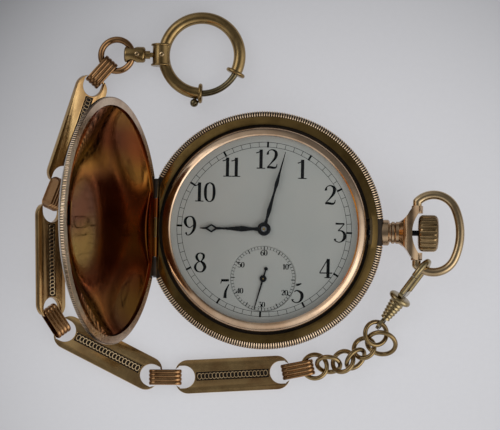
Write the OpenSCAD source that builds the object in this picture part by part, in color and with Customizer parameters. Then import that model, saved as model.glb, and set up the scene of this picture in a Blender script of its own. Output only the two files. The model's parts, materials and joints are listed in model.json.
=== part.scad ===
// Full hunter pocket watch with its clipped-on panel chain, lying open on its back.
// The origin is the centre of the small flat on the back cover. +X runs to the pendant
// and three o'clock, +Y to twelve, +Z out of the dial. All sizes are in millimetres.

/* [Case] */
// Outer radius of the reeded band
case_r = 25.5; // [24.5:0.5:27]
// Height of the band's lower face above the rest plane
band_z0 = 3.3; // [3:0.1:3.8]
// Height of the band between its two faces
band_h = 6.45; // [6.2:0.05:7.2]
// Radius of the round corners of the band
band_corner = 1.1; // [0.6:0.1:1.4]
// Width of the band between the movement's bore and its reeded edge
case_wall = 3.9; // [3.8:0.1:4.2]
// Width of the groove between the bezel and the shoulder
groove_w = 0.66; // [0.5:0.02:0.9]
// Height of the rounded shoulder above the band's upper face
shoulder_h = 0.4; // [0.2:0.05:0.4]
// Thickness of the sheet of the covers
cover_wall = 0.6; // [0.4:0.05:0.9]
// Height of the front cover's dome above its rim face
front_dome = 5.2; // [5:0.1:6]
// How flat the dome's middle is: 2 is a plain bowl
dome_power = 4; // [3.9:0.1:4.6]
// Height of the front cover's straight rim
rim_h = 1.05; // [0.8:0.05:1.4]
// Width of the flat rim face of both covers
rim_w = 1.5; // [1:0.1:1.6]
// Radius of the flat that the back cover stands on
rest_r = 12; // [6:1:14]
// Angle between the open front cover and its closed place
open_angle = 106.9; // [80:1:112]

/* [Hinges] */
// Distance of both hinge axes inward from the reeded edge
hinge_inset = 2; // [1.8:0.1:2.4]
// Radius of the hinge knuckles
knuckle_r = 0.75; // [0.6:0.05:0.9]
// Length of the whole hinge
hinge_len = 21; // [16:1:22]
// Radius of the hinge pins
hinge_pin_r = 0.3; // [0.2:0.05:0.4]

/* [Pendant and crown] */
// Height of the pendant's axis
stem_z = 6.6; // [6:0.1:7]
// Radius of the collar next to the band
collar_r = 2.8; // [2.4:0.1:3.2]
// Radius of the neck
neck_r = 2.1; // [1.9:0.1:2.4]
// Distance of the yoke's start from the reeded edge
yoke_off = 3.4; // [3:0.1:4]
// Distance of the bow's pivot from the yoke's start
pivot_off = 3.9; // [3.6:0.1:4.4]
// Half the width between the outer faces of the ears
ear_y = 5.85; // [5.4:0.05:6.2]
// Radius of the ears
ear_r = 1.25; // [1.1:0.05:1.5]
// Thickness of the ears
ear_t = 1.6; // [1.4:0.05:1.65]
// Distance of the crown's inner end beyond the bow's pivot
crown_off = 0.2; // [0.1:0.1:0.6]
// Length of the crown
crown_len = 4.5; // [3.5:0.25:5]
// Radius of the crown
crown_r = 3.95; // [3.4:0.05:4.2]
// Number of flutes on the crown
crown_flutes = 22; // [16:1:30]
// Radius of the winding stem
stem_r = 0.6; // [0.5:0.05:0.7]
// How far the crown can be pushed in
push_travel = 0.5; // [0.3:0.1:0.5]
// How far the crown can be pulled out
pull_travel = 1.0; // [0.6:0.1:1.2]

/* [Bow] */
// Radius of the bow's wire
bow_wire_r = 0.95; // [0.8:0.05:1.1]
// Distance of the bow's outermost centreline beyond its pivot
bow_len = 9.3; // [8.4:0.1:10]
// Radius of the bow's round corners
bow_corner_r = 5.0; // [4.6:0.1:5.4]
// Half the distance between the corner centres
bow_corner_y = 3.35; // [3:0.05:3.6]
// Angle at which the wire meets the ear, on the corner's circle
bow_end_angle = 136; // [125:1:145]

/* [Dial and hands] */
// Room round the dial in its bore
dial_room = 0.3; // [0.2:0.1:0.6]
// Thickness of the dial
dial_t = 0.6; // [0.4:0.05:0.8]
// Distance of the seconds dial below the centre
seconds_y = 10.6; // [10.2:0.05:11]
// Radius of the sunk seconds dial
seconds_r = 7.1; // [6:0.1:7.5]
// Length of the minute hand
minute_len = 17.2; // [14:0.2:18]
// Length of the hour hand
hour_len = 13.8; // [11:0.2:15]
// Length of the seconds hand
seconds_len = 6.8; // [5:0.1:7]
// Thickness of the hour and minute hands
hand_t = 0.2; // [0.15:0.05:0.3]
// Direction of the minute hand, clockwise from +Y
minute_angle = 14.5; // [0:0.5:359]
// Direction of the hour hand, clockwise from +Y
hour_angle = 270; // [0:0.5:359]
// Direction of the seconds hand, clockwise from +Y
seconds_angle = 195.5; // [0:0.5:359]

/* [Bezel and crystal] */
// Width of the bezel's ring
bezel_w = 1.85; // [1.65:0.05:2.6]
// Height of the bezel
bezel_h = 2.2; // [2.15:0.05:2.25]
// Rise of the crystal above its rim
crystal_rise = 0.95; // [0.9:0.05:1.2]
// Thickness of the crystal
crystal_t = 0.5; // [0.4:0.05:0.6]

/* [Movement] */
// Thickness of the main plate
plate_t = 1.3; // [1:0.1:1.5]
// Thickness of the train bridge and the balance cock
bridge_t = 0.8; // [0.6:0.05:0.9]
// Thickness of the train wheels
wheel_t = 0.2; // [0.15:0.05:0.25]
// Radius of the wheel arbors
arbor_r = 0.35; // [0.3:0.05:0.4]
// Radius of the pivots in their jewels
pivot_r = 0.15; // [0.12:0.01:0.18]
// Outer radius of the balance wheel
balance_r = 5.0; // [4.4:0.1:5.1]
// Place of the balance, from the centre
balance_at = [12.6, -7.4];
// Tooth module of the barrel and the centre pinion
module_barrel = 0.32; // [0.3:0.01:0.33]
// Tooth module of the centre wheel and the third pinion
module_center = 0.25; // [0.24:0.01:0.26]
// Tooth module of the third wheel and the fourth pinion
module_third = 0.22; // [0.21:0.01:0.23]
// Tooth module of the fourth wheel and the escape pinion
module_fourth = 0.14; // [0.13:0.01:0.15]
// Tooth module of the wheels under the dial
module_motion = 0.14; // [0.13:0.01:0.15]
// Tooth module of the winding wheels
module_winding = 0.22; // [0.21:0.01:0.24]

/* [Clip] */
// Wire radius of the clip's hook
hook_wire_r = 0.7; // [0.6:0.05:0.8]
// Radius of the hook's bend, at the middle of the wire
hook_bend_r = 2.7; // [2.6:0.05:2.9]
// How far the bow's wire sits past the middle of the bend
hook_seat = 0.7; // [0.5:0.05:0.8]
// Length of the turned base with its cone
cone_len = 6.1; // [5.5:0.1:6.6]
// Distance from the cone's end to the middle of the eye
eye_offset = 1.5; // [1.4:0.1:1.7]
// Radius of the base's collar
clip_collar_r = 2.6; // [2.3:0.1:2.7]

/* [Chain] */
// Play between two links
link_play = 0.2; // [0.15:0.01:0.25]
// Wire diameter of the small rings
ring_wire = 1.0; // [0.9:0.05:1.05]
// Length of a ribbed band
band_len = 7.2; // [7.1:0.1:7.4]
// Width of a ribbed band
band_w = 3.4; // [3.1:0.05:3.45]
// Outer height of a ribbed band
band_high = 3.1; // [3.0:0.05:3.2]
// Sheet thickness of a ribbed band
band_wall = 0.4; // [0.3:0.05:0.45]
// Length of a panel
panel_len = 25; // [24.5:0.25:25.5]
// Width of a panel
panel_w = 7.3; // [7:0.1:7.5]
// Thickness of a panel
panel_t = 1.3; // [1.1:0.1:1.4]
// Width of the bar at each end of a panel
bar_w = 0.9; // [0.7:0.05:1]
// Thickness of that bar
bar_t = 0.6; // [0.5:0.05:0.65]
// Width of the inset strip along a panel
strip_w = 1.9; // [1.4:0.1:2.2]
// Wire diameter of the large end ring
end_wire = 1.4; // [1.2:0.1:1.5]

/* [Bolt ring] */
// Outer diameter of the bolt ring
bolt_ring_d = 19.2; // [18:0.2:21]
// Radius of the bolt ring's tube
tube_r = 1.3; // [1.2:0.05:1.4]
// Radius of the bolt
bolt_r = 0.7; // [0.6:0.05:0.8]
// Direction of the gap's first end, seen from the ring's centre
gap_start = -89; // [-95:1:-80]
// Direction of the gap's second end
gap_end = -28; // [-35:1:-20]
// How far the bolt draws back
bolt_travel = 58; // [40:1:60]

/* [Hidden] */
$fn = 64;

// Clearances
run = 0.02;        // a pivot in its jewel, a pin in its bore
part_gap = 0.05;   // two case parts that meet when closed
free_gap = 0.1;    // pieces that pass each other
wheel_gap = 0.15;  // a wheel above the next

// Places that follow from the case's radius
movement_r = case_r - case_wall;
hinge_x = case_r - hinge_inset;
dial_r = movement_r - dial_room;
yoke_x0 = case_r + yoke_off;
bow_pivot_x = yoke_x0 + pivot_off;
crown_x0 = bow_pivot_x + crown_off;
bow_tip_x = bow_pivot_x + bow_len;

// Heights of the case
band_z1 = band_z0 + band_h;
shoulder_z = band_z1 + shoulder_h;
groove_r0 = movement_r + 0.4;
groove_r1 = groove_r0 + groove_w;
bezel_r = groove_r0 - part_gap;
bezel_open_r = bezel_r - bezel_w;
groove_z = band_z1 - 0.6;
bezel_z = band_z1 + 0.25;
rim_z = band_z1 + 0.2;
cover_r = case_r - 0.1;
front_hinge_z = band_z1 + 0.05;
back_hinge_z = band_z0;
back_rim_z = band_z0 - part_gap;
catch_r = groove_r1 + 0.1;

// Heights of the movement, from the dial down
dial_z = bezel_z + 0.1;
motion_h = 0.8;
plate_z = dial_z - motion_h - plate_t;
train_h = 3.6;
bridge_z1 = plate_z - train_h;
bridge_z0 = bridge_z1 - bridge_t;
winding_z = bridge_z0 - 0.4;
winding_t = 0.3;
center_z = plate_z - 0.5;
fourth_z = plate_z - 1.6;
escape_z = plate_z - 0.85;
third_z = bridge_z1 + 0.2;
barrel_z0 = bridge_z1 + 0.55;
barrel_z1 = center_z - 0.3;
barrel_teeth_z = barrel_z0 + 0.4;
barrel_teeth_t = 0.4;
balance_z = bridge_z1 + 1.2;
balance_t = 0.7;

// Teeth of each wheel and pinion
barrel_teeth = 48;
center_pinion_teeth = 8;
center_teeth = 45;
third_pinion_teeth = 6;
third_teeth = 48;
fourth_pinion_teeth = 6;
fourth_teeth = 60;
escape_pinion_teeth = 6;
escape_teeth = 15;
cannon_teeth = 10;
minute_teeth = 30;
minute_pinion_teeth = 8;
hour_teeth = 32;
ratchet_teeth = 32;
crown_teeth = 24;

// Places of the arbors. The third wheel closes the triangle between centre and fourth.
function mesh(m, a, b) = m * (a + b) / 2;
function polar(r, a) = [r * cos(a), r * sin(a)];
function heading(v) = atan2(v[1], v[0]);
center_third = mesh(module_center, center_teeth, third_pinion_teeth);
third_fourth = mesh(module_third, third_teeth, fourth_pinion_teeth);
third_along = (center_third * center_third - third_fourth * third_fourth
    + seconds_y * seconds_y) / (2 * seconds_y);
third_at = [-sqrt(center_third * center_third - third_along * third_along), -third_along];
fourth_at = [0, -seconds_y];
barrel_turn = 45;
barrel_at = polar(mesh(module_barrel, barrel_teeth, center_pinion_teeth), barrel_turn);
escape_turn = -17.6;
escape_at = fourth_at + polar(mesh(module_fourth, fourth_teeth, escape_pinion_teeth), escape_turn);
winding_turn = -33;
crown_wheel_at = barrel_at + polar(mesh(module_winding, ratchet_teeth, crown_teeth), winding_turn);
minute_turn = 120;
minute_wheel_at = polar(mesh(module_motion, cannon_teeth, minute_teeth), minute_turn);
escape_r = 3.2;
to_balance = heading(balance_at - escape_at);
pallet_at = escape_at + polar(3.9, to_balance);
pallet_reach = norm(balance_at - pallet_at);
roller_r = 0.9;
click_at = barrel_at + polar(5.3, 135);
pillar_ring = movement_r - 3.1;
pillar_turns = [20, 100, 160, 215, 262];
pillar_r = 1.4;
cock_foot_at = [9.6, -16.6];
cock_foot_r = 1.7;
jewel_r = 0.7;
jewel_t = 0.3;
jewelled = [third_at, fourth_at, escape_at, pallet_at];
screw_head_r = 1.05;
screw_r = 0.5;

// Stem parts
sleeve_r = 1.7;
sleeve_nose_r = 1.0;
sleeve_x0 = case_r - 2.9;
sleeve_step_x = case_r + 0.7;
sleeve_x1 = case_r + 5.9;
cavity_r = 1.25;
cavity_x0 = case_r + 1.9;
cavity_x1 = case_r + 4.5;
clip_x = case_r + 2.4;
clip_t = 0.5;
groove_stem_r = stem_r - 0.12;
pinion_x = 14.8;
pinion_len = 1.5;
lock_r0 = movement_r + 0.6;
lock_t = 0.3;
lock_turn = 24;
spring_z0 = stem_z - 1.6;
spring_z1 = stem_z + 2.0;
catch_turn = 3.5;
recess_turn = 7;

// Bow
bow_corner_x = bow_pivot_x - bow_corner_r * cos(bow_end_angle) + 0.0;
bow_reach = bow_tip_x - bow_corner_x;
bow_side_r = (bow_reach * bow_reach + bow_corner_y * bow_corner_y - bow_corner_r * bow_corner_r)
    / (2 * (bow_reach - bow_corner_r));
bow_side_x = bow_tip_x - bow_side_r;
bow_side_angle = atan2(bow_corner_y, bow_corner_x - bow_side_x);
bow_end_y = bow_corner_y + bow_corner_r * sin(bow_end_angle);
bow_pin_r = 0.42;
bow_pin_depth = 1.1;

// Hands, outlines along +Y from the arbor: [distance, half width]
hub_r = 1.45;
minute_outline = [[1.2, 0.42], [2.2, 0.26], [4.2, 0.45], [6.4, 0.3], [8.4, 0.24], [10.2, 0.42],
    [12.4, 0.22], [17.2, 0.06]];
hour_outline = [[1.2, 0.45], [2.4, 0.3], [4.8, 0.62], [7.4, 0.3], [9.0, 0.22], [10.2, 0.3],
    [11.3, 0.92], [12.5, 0.22], [13.8, 0.07]];
hour_outline_len = 13.8;
minute_outline_len = 17.2;

// The clip runs from the bow's wire to its eye, which lies near the table
bow_hold_angle = -118;
bow_hold = [bow_corner_x, -bow_corner_y] + polar(bow_corner_r, bow_hold_angle);
eye_at = [25.5, -19.5];
eye_z = 2.6;
eye_hole_r = 1.15;
eye_wall = 0.4;
eye_t = 0.75;
clip_roll = 8;
clip_drop = stem_z - eye_z;
clip_run = norm(eye_at - bow_hold);
clip_reach = sqrt(clip_run * clip_run + clip_drop * clip_drop);
clip_heading = heading(eye_at - bow_hold);
clip_slope = atan2(clip_drop, clip_run);
hook_len = clip_reach - cone_len - eye_offset;

// How the small rings lie: centre x, y and height, heading of the line the ring tilts
// about, tilt, outer diameter
ring_a_lie = [24.4, -21.7, 3.3, 270, -22, 6.0];
ring_b_lie = [25.6, -23.8, 2.6, 170, -42, 7.2];
ring_c_lie = [21.9, -24.9, 1.7, 220, 25, 5.6];
ring_d_lie = [20.1, -27.3, 2.5, 230, -55, 5.8];
ring_e_lie = [17.4, -27.9, 2.9, 230, 32, 5.8];
ring_f_lie = [14.3, -28.6, 2.5, 175, -50, 6.0];
ring_g_lie = [11.3, -29.1, 1.6, 190, 8, 6.2];

// The long part of the chain, from the first band to the bolt ring. Each link runs from
// one joint to the next: its heading, its roll, the height of its first joint, how far its
// middle lies above that joint, and the slack at its two ends.
links = [
    [192, 0, 1.6, 0, 0, 0.3],
    [184, 0, 1.58, -0.75, 0, 0],
    [181, 0, 1.58, 0, 0, 0.8],
    [154, 6, 1.58, -0.3, 0, 0],
    [123, 25, 2.35, 0, 1.0, 1.0],
    [92, 46, 3.15, 0, 0, 0],
    [70, 56, 3.15, 0, 0, 0],
    [73, 32, 2.95, 0, 0, 0],
    [50, 9, 2.75, 0, 0.4, 0],
    [3, 0, 2.0, 0, 0, 0],
    [0, 0, 2.3, 0, 0, 0],
    [0, 0, 2.3, 0, 0, 0]];
end_ring_d = 8.3;
first_joint = [ring_g_lie[0], ring_g_lie[1]] + polar(0.65, 190);
inner_end = bar_w + link_play / 2;
band_pitch = band_len - 2 * band_wall - link_play;
panel_pitch = panel_len - 2 * inner_end;
end_ring_seat = 1.9;
end_ring_rc = (end_ring_d - end_wire) / 2;
end_ring_tilt = 2.5;
barrel_x = 2.9;
neck_x = 3.9;
collar_x = 4.6;
pitches = [band_pitch, panel_pitch, band_pitch, panel_pitch, band_pitch, panel_pitch, band_pitch,
    panel_pitch, band_pitch, end_ring_rc, collar_x, 1];
bolt_ring_rc = bolt_ring_d / 2 - tube_r;

function pitch(i) = pitches[i] - links[i][4] - links[i][5];
function slope(i) = asin((links[i][2] - links[min(i + 1, 11)][2]) / pitch(i));
function joint_at(i) = i == 0 ? first_joint
    : joint_at(i - 1) + polar(pitch(i - 1) * cos(slope(i - 1)), links[i - 1][0])
    + (i == 10 ? polar(end_ring_seat, links[8][0]) : [0, 0]);

// Helpers

// An arc of points about c, from angle a0 to a1 in n steps
function arc(c, r, a0, a1, n) =
    [for (i = [0:n]) c + polar(r, a0 + (a1 - a0) * i / n)];

// Radius of the sphere that rises h over a disc of radius r
function dome_r(r, h) = (r * r + h * h) / (2 * h);

// Points of a dome's outline, in radius and height, from the rim inward
function dome(r, z, h, n, last) = [for (i = [0:n]) let (x = r + (last - r) * i / n)
    [x, z + sqrt(pow(dome_r(r, h), 2) - x * x) - dome_r(r, h) + h]];

// Outline of a gear, with one tooth centred on the x axis
function gear(teeth, m) = [for (i = [0:teeth - 1]) for (k = [0:3])
    polar(m * (teeth / 2 + [-1.1, 0.8, 0.8, -1.1][k]), 360 / teeth * (i + [-0.22, -0.1, 0.1, 0.22][k]))];

// A rounded rectangle about the origin
function round_rect(l, w, r, n) = concat(
    arc([l / 2 - r, w / 2 - r], r, 0, 90, n), arc([r - l / 2, w / 2 - r], r, 90, 180, n),
    arc([r - l / 2, r - w / 2], r, 180, 270, n), arc([l / 2 - r, r - w / 2], r, 270, 360, n));

// Outline of a hand from its list of distances and half widths, scaled to a length
function hand_points(list, k) = concat([for (p = list) [p[1], p[0] * k]],
    [for (i = [len(list) - 1:-1:0]) [-list[i][1], list[i][0] * k]]);

module at(p, z) { translate([p[0], p[1], z]) children(); }

// A wheel or pinion whose tooth, or gap, points along an angle
module toothed(teeth, m, t, tooth_at) {
    rotate([0, 0, tooth_at]) linear_extrude(height = t) polygon(gear(teeth, m));
}

// A tube or bar round an arc about +Z
module bent_bar(rc, r, a0, a1) {
    rotate([0, 0, a0]) rotate_extrude(angle = a1 - a0) translate([rc, 0]) circle(r = r, $fn = 32);
}

module tube(r1, r0, h) {
    difference() {
        cylinder(r = r1, h = h);
        translate([0, 0, -1]) cylinder(r = r0, h = h + 2);
    }
}

// A ring sector between two radii and heights, about the angle mid
module sector(r0, r1, z0, z1, mid, half) {
    rotate([0, 0, mid - half]) rotate_extrude(angle = 2 * half)
        translate([r0, z0]) square([r1 - r0, z1 - z0]);
}

// Moves children into the frame of link i, whose +X runs along the link
module along(i) {
    at(joint_at(i), links[i][2] + links[i][3]) rotate([0, slope(i), links[i][0]])
        rotate([links[i][1], 0, 0]) translate([-links[i][4], 0, 0]) children();
}

// Moves children into the frame of the clip, whose +X runs from the bow to the eye
module along_clip() {
    at(bow_hold, stem_z) rotate([0, clip_slope, clip_heading]) rotate([clip_roll, 0, 0]) children();
}

// Case

// Outline of the band's outside, shared by the band and by what is fitted to it
outer_profile = concat([[0, band_z0]],
    arc([case_r - band_corner, band_z0 + band_corner], band_corner, -90, 0, 8),
    arc([case_r - band_corner, band_z1 - band_corner], band_corner, 0, 90, 8),
    [[0, band_z1]]);

module hinge_bar(z, r, y0, y1) {
    translate([-hinge_x, y0, z]) rotate([-90, 0, 0]) cylinder(r = r, h = y1 - y0, $fn = 32);
}

// Both halves of a knuckle pair between two distances from the middle
module knuckles(z, r, y0, y1) {
    hinge_bar(z, r, y0, y1);
    hinge_bar(z, r, -y1, -y0);
}

strike_t = 0.35;
knuckle_mid = 2.0;
knuckle_out = 6.4;
back_in = 3.0;
back_out = 7.5;
half_hinge = hinge_len / 2;

module case_center() {
    color("goldenrod") difference() {
        union() {
            difference() {
                union() {
                    rotate_extrude() polygon(outer_profile);
                    rotate_extrude() polygon([[movement_r, band_z1 - 0.5], [groove_r0, band_z1 - 0.5],
                        [groove_r0, bezel_z], [movement_r, bezel_z]]);
                    rotate_extrude() polygon([[groove_r1, band_z1 - 0.5],
                        [case_r - band_corner, band_z1 - 0.5], [case_r - band_corner, band_z1],
                        [groove_r1 + 0.5, shoulder_z], [groove_r1, shoulder_z]]);
                }
                translate([0, 0, band_z0 - 1]) cylinder(r = movement_r, h = band_h + 3, $fn = 96);
                rotate_extrude() translate([groove_r0, groove_z])
                    square([groove_w, shoulder_z - groove_z + 1]);
                translate([0, 0, band_z0 - 1]) cylinder(r = dust_r + free_gap, h = 1.5, $fn = 96);
                hinge_relief(front_hinge_z, 1);
                hinge_relief(back_hinge_z, -1);
            }
            knuckles(front_hinge_z, knuckle_r, knuckle_out, half_hinge);
            knuckles(front_hinge_z, knuckle_r, 0, knuckle_mid);
            knuckles(back_hinge_z, knuckle_r, back_out, half_hinge);
            knuckle_webs();
        }
        hinge_bar(front_hinge_z, hinge_pin_r, -half_hinge, half_hinge);
        hinge_bar(back_hinge_z, hinge_pin_r, -half_hinge, half_hinge);
        stem_bore();
        sector(movement_r - 1, lock_r0 + 0.45 + free_gap, spring_z0 - free_gap,
            spring_z1 + free_gap, 0, lock_turn + 3);
        sector(movement_r - 0.05, catch_r + 0.5, spring_z1, band_z1 + 2, 0, recess_turn);
    }
}

dust_r = movement_r + 0.7;

// Room for a cover's rim and knuckles as they swing past the band
module hinge_relief(z, side) {
    half = half_hinge + free_gap;
    dome_at_hinge = (front_dome - rim_h) * (1 - pow(hinge_x / (cover_r - 0.3), dome_power));
    scoop = side > 0 ? rim_z + rim_h - front_hinge_z + dome_at_hinge + 0.15 : knuckle_r + 1.1;
    intersection() {
        hinge_bar(z, scoop, -half, half);
        translate([-hinge_x - 5, -half, z - 5]) cube([5, 2 * half, 10]);
    }
    hinge_bar(z, knuckle_r + free_gap, -half, half);
    if (side > 0)
        translate([-hinge_x, -half, z]) cube([1.0, 2 * half, 5]);
    else
        translate([-hinge_x, -back_in - free_gap, z - 1]) cube([2, 2 * back_in + 2 * free_gap, 1.5]);
}

// Webs that tie the case's own knuckles to the band
module knuckle_webs() {
    for (y = [[-half_hinge, -knuckle_out], [-knuckle_mid, knuckle_mid], [knuckle_out, half_hinge]])
        translate([-hinge_x, y[0], front_hinge_z - 1.1]) cube([1.0, y[1] - y[0], 0.8]);
    for (y = [[-half_hinge, -back_out], [back_out, half_hinge]])
        translate([-hinge_x, y[0], back_hinge_z + 0.3]) cube([1.0, y[1] - y[0], 0.8]);
}

module stem_bore() {
    translate([movement_r - 2.5, 0, stem_z]) rotate([0, 90, 0])
        cylinder(r = sleeve_nose_r + run, h = 8, $fn = 32);
}

// Points of the front cover's dome, in radius and height, from the rim inward
function lid(r, z, h, n) = [for (i = [0:n]) let (k = 1 - i / n) [r * k, z + h * (1 - pow(k, dome_power))]];

// Front cover in its closed place
module closed_front() {
    inner_r = cover_r - rim_w;
    rim_top = rim_z + rim_h;
    rise = front_dome - rim_h;
    strike_r = catch_r + strike_t;
    strike_top = rim_top + rise * (1 - pow(strike_r / (cover_r - 0.3), dome_power)) - 0.3;
    outside = lid(cover_r - 0.3, rim_top, rise, 16);
    inside = lid(inner_r - 0.1, rim_top - 0.25, rise - cover_wall + 0.25, 16);
    difference() {
        union() {
            difference() {
                rotate_extrude() polygon(concat([[inner_r, rim_z], [cover_r, rim_z],
                    [cover_r, rim_top - 0.3]], outside, [for (i = [16:-1:0]) inside[i]],
                    [[inner_r, rim_top - 0.6]]));
                hinge_cut();
            }
            sector(catch_r, strike_r, groove_z + 0.35, strike_top, 0, recess_turn - 1);
            intersection() {
                translate([-hinge_x - knuckle_r, -half_hinge, rim_z + 0.05])
                    cube([1.6, 2 * half_hinge, 1.0]);
                cylinder(r = cover_r, h = 30, $fn = 96);
            }
            knuckles(front_hinge_z, knuckle_r, knuckle_mid + free_gap, knuckle_out - free_gap);
        }
        knuckles(front_hinge_z, knuckle_r + free_gap, knuckle_out - free_gap, half_hinge + free_gap);
        hinge_bar(front_hinge_z, knuckle_r + free_gap, -knuckle_mid - free_gap,
            knuckle_mid + free_gap);
        hinge_bar(front_hinge_z, hinge_pin_r + run, -half_hinge, half_hinge);
    }
}

// The straight cut that frees a cover's rim at the hinge
module hinge_cut() {
    translate([-hinge_x - knuckle_r - 5, -half_hinge - 1, -1]) cube([5, 2 * half_hinge + 2, 30]);
}

module front_cover() {
    color("peru") translate([-hinge_x, 0, front_hinge_z]) rotate([0, -open_angle, 0])
        translate([hinge_x, 0, -front_hinge_z]) closed_front();
}

// The back cover's bulge: level at the flat it stands on, steepening to the rim
function bulge(r, z, n) = [for (i = [0:n]) let (x = r + (rest_r - r) * i / n)
    [x, z * pow((x - rest_r) / (r - rest_r), 2)]];

module back_cover() {
    inner_r = cover_r - 0.75 * rim_w;
    edge_z = back_rim_z - 0.8;
    inside = bulge(inner_r - 0.2, edge_z - 0.2, 12);
    color("goldenrod") difference() {
        union() {
            difference() {
                rotate_extrude() polygon(concat([[inner_r, back_rim_z], [cover_r, back_rim_z],
                    [cover_r, edge_z]], bulge(cover_r - 0.2, edge_z - 0.25, 12), [[0, 0],
                    [0, cover_wall]], [for (i = [12:-1:0]) inside[i] + [0, cover_wall]]));
                hinge_cut();
            }
            for (y = [-back_out, back_in + free_gap])
                translate([-hinge_x - knuckle_r, y, back_rim_z - 1.15])
                    cube([1.5, back_out - back_in - free_gap, 1.15]);
            knuckles(back_hinge_z, knuckle_r, back_in + free_gap, back_out - free_gap);
        }
        knuckles(back_hinge_z, knuckle_r + free_gap, back_out - free_gap, half_hinge + free_gap);
        hinge_bar(back_hinge_z, knuckle_r + free_gap, -back_in - free_gap, back_in + free_gap);
        hinge_bar(back_hinge_z, hinge_pin_r + run, -half_hinge, half_hinge);
    }
}

module dust_cover() {
    floor_z = band_z0 - 0.7;
    color("darkkhaki") difference() {
        union() {
            translate([0, 0, floor_z]) difference() {
                cylinder(r = dust_r, h = 1.1, $fn = 96);
                translate([0, 0, 0.4]) cylinder(r = dust_r - 0.5, h = 1, $fn = 96);
            }
            hinge_bar(back_hinge_z, knuckle_r, -back_in, back_in);
            translate([-hinge_x, -back_in, floor_z]) cube([1.6, 2 * back_in, 0.4]);
        }
        hinge_bar(back_hinge_z, hinge_pin_r + run, -half_hinge, half_hinge);
    }
}

module hinge_pins() {
    color("dimgray") {
        hinge_bar(front_hinge_z, hinge_pin_r, -half_hinge, half_hinge);
        hinge_bar(back_hinge_z, hinge_pin_r, -half_hinge, half_hinge);
    }
}

module bezel() {
    top = bezel_z + bezel_h;
    crystal_z = top - 0.7;
    slope = [bezel_w - 0.3, 1.2];
    half_turn = 25;
    slope_r = norm(slope) / (2 * sin(half_turn));
    slope_a = 90 - heading(slope) - half_turn;
    color("rosybrown") rotate_extrude() polygon(concat(
        [[movement_r, bezel_z], [bezel_r, bezel_z]],
        arc([bezel_r, top - slope[1]] - polar(slope_r, slope_a), slope_r, slope_a,
            slope_a + 2 * half_turn, 10),
        [[bezel_open_r, top - 0.2], [bezel_open_r, crystal_z + 0.3],
        [bezel_open_r + 0.4, crystal_z + 0.3],
        [bezel_open_r + 0.4, crystal_z], [bezel_open_r, crystal_z],
        [bezel_open_r, dial_z + dial_t + 0.1], [movement_r, dial_z + dial_t + 0.1]]));
}

module crystal() {
    rim = bezel_z + bezel_h - 0.7;
    outer = bezel_open_r + 0.4;
    inner = bezel_open_r - 0.3;
    color("aliceblue", 0.4) rotate_extrude() polygon(concat([[outer, rim], [outer, rim + 0.3],
        [bezel_open_r - 0.05, rim + 0.3]],
        dome(bezel_open_r - 0.05, rim + 0.5, crystal_rise, 10, 0),
        [for (i = [10:-1:0]) dome(inner, rim, crystal_rise + 0.5 - crystal_t, 10, 0)[i]]));
}

// Pendant, crown and bow

module pendant() {
    color("rosybrown") difference() {
        union() {
            translate([0, 0, stem_z]) rotate([0, 90, 0]) rotate_extrude() polygon([
                [0, case_r - 1.5], [collar_r - 0.1, case_r - 1.5], [collar_r, case_r + 0.3],
                [collar_r, case_r + 1.1], [collar_r - 0.3, case_r + 1.4], [neck_r, case_r + 1.4],
                [neck_r, case_r + 1.7], [neck_r + 0.3, case_r + 1.9], [neck_r + 0.3, case_r + 2.4],
                [neck_r, case_r + 2.6], [neck_r + 0.3, case_r + 2.8], [neck_r + 0.3, yoke_x0],
                [neck_r + 0.9, yoke_x0 + 0.9], [0, yoke_x0 + 0.9]]);
            yoke();
        }
        rotate_extrude() polygon(outer_profile);
        translate([case_r - 1, 0, stem_z]) rotate([0, 90, 0]) cylinder(r = sleeve_r + run, h = 12, $fn = 48);
        for (side = [-1, 1])
            translate([bow_pivot_x, side * ear_y, stem_z]) rotate([side * 90, 0, 0])
                cylinder(r = bow_pin_r + 0.05, h = bow_pin_depth + 0.1, $fn = 32);
    }
}

// Outer edge of the crescent, from the neck to the ear's tip
yoke_edge = [[yoke_x0 + 0.2, neck_r], [yoke_x0 + 0.9, neck_r + 0.7], [bow_pivot_x - 2.1, ear_y - 2.0],
    [bow_pivot_x - 1.5, ear_y - 0.95], [bow_pivot_x - 0.9, ear_y - 0.3], [bow_pivot_x - 0.2, ear_y],
    [bow_pivot_x + 0.8, ear_y], [bow_pivot_x + 1.1, ear_y - 0.5]];

// The crescent head that carries the bow
module yoke() {
    face_x = crown_x0 - push_travel - 0.75;
    hollow_r = 7.4;
    intersection() {
        translate([0, 0, stem_z - 3]) linear_extrude(height = 6) difference() {
            polygon(concat([for (p = yoke_edge) [p[0], -p[1]]],
                [for (i = [len(yoke_edge) - 1:-1:0]) yoke_edge[i]]));
            translate([face_x + hollow_r, 0]) circle(r = hollow_r, $fn = 96);
        }
        translate([bow_pivot_x - 1.4, -ear_y - 1, stem_z]) rotate([-90, 0, 0])
            cylinder(r = 2.5, h = 2 * ear_y + 2, $fn = 48);
    }
    for (side = [-1, 1]) translate([bow_pivot_x, side * ear_y, stem_z]) rotate([side * 90, 0, 0])
        cylinder(r = ear_r, h = ear_t, $fn = 32);
}

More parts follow.
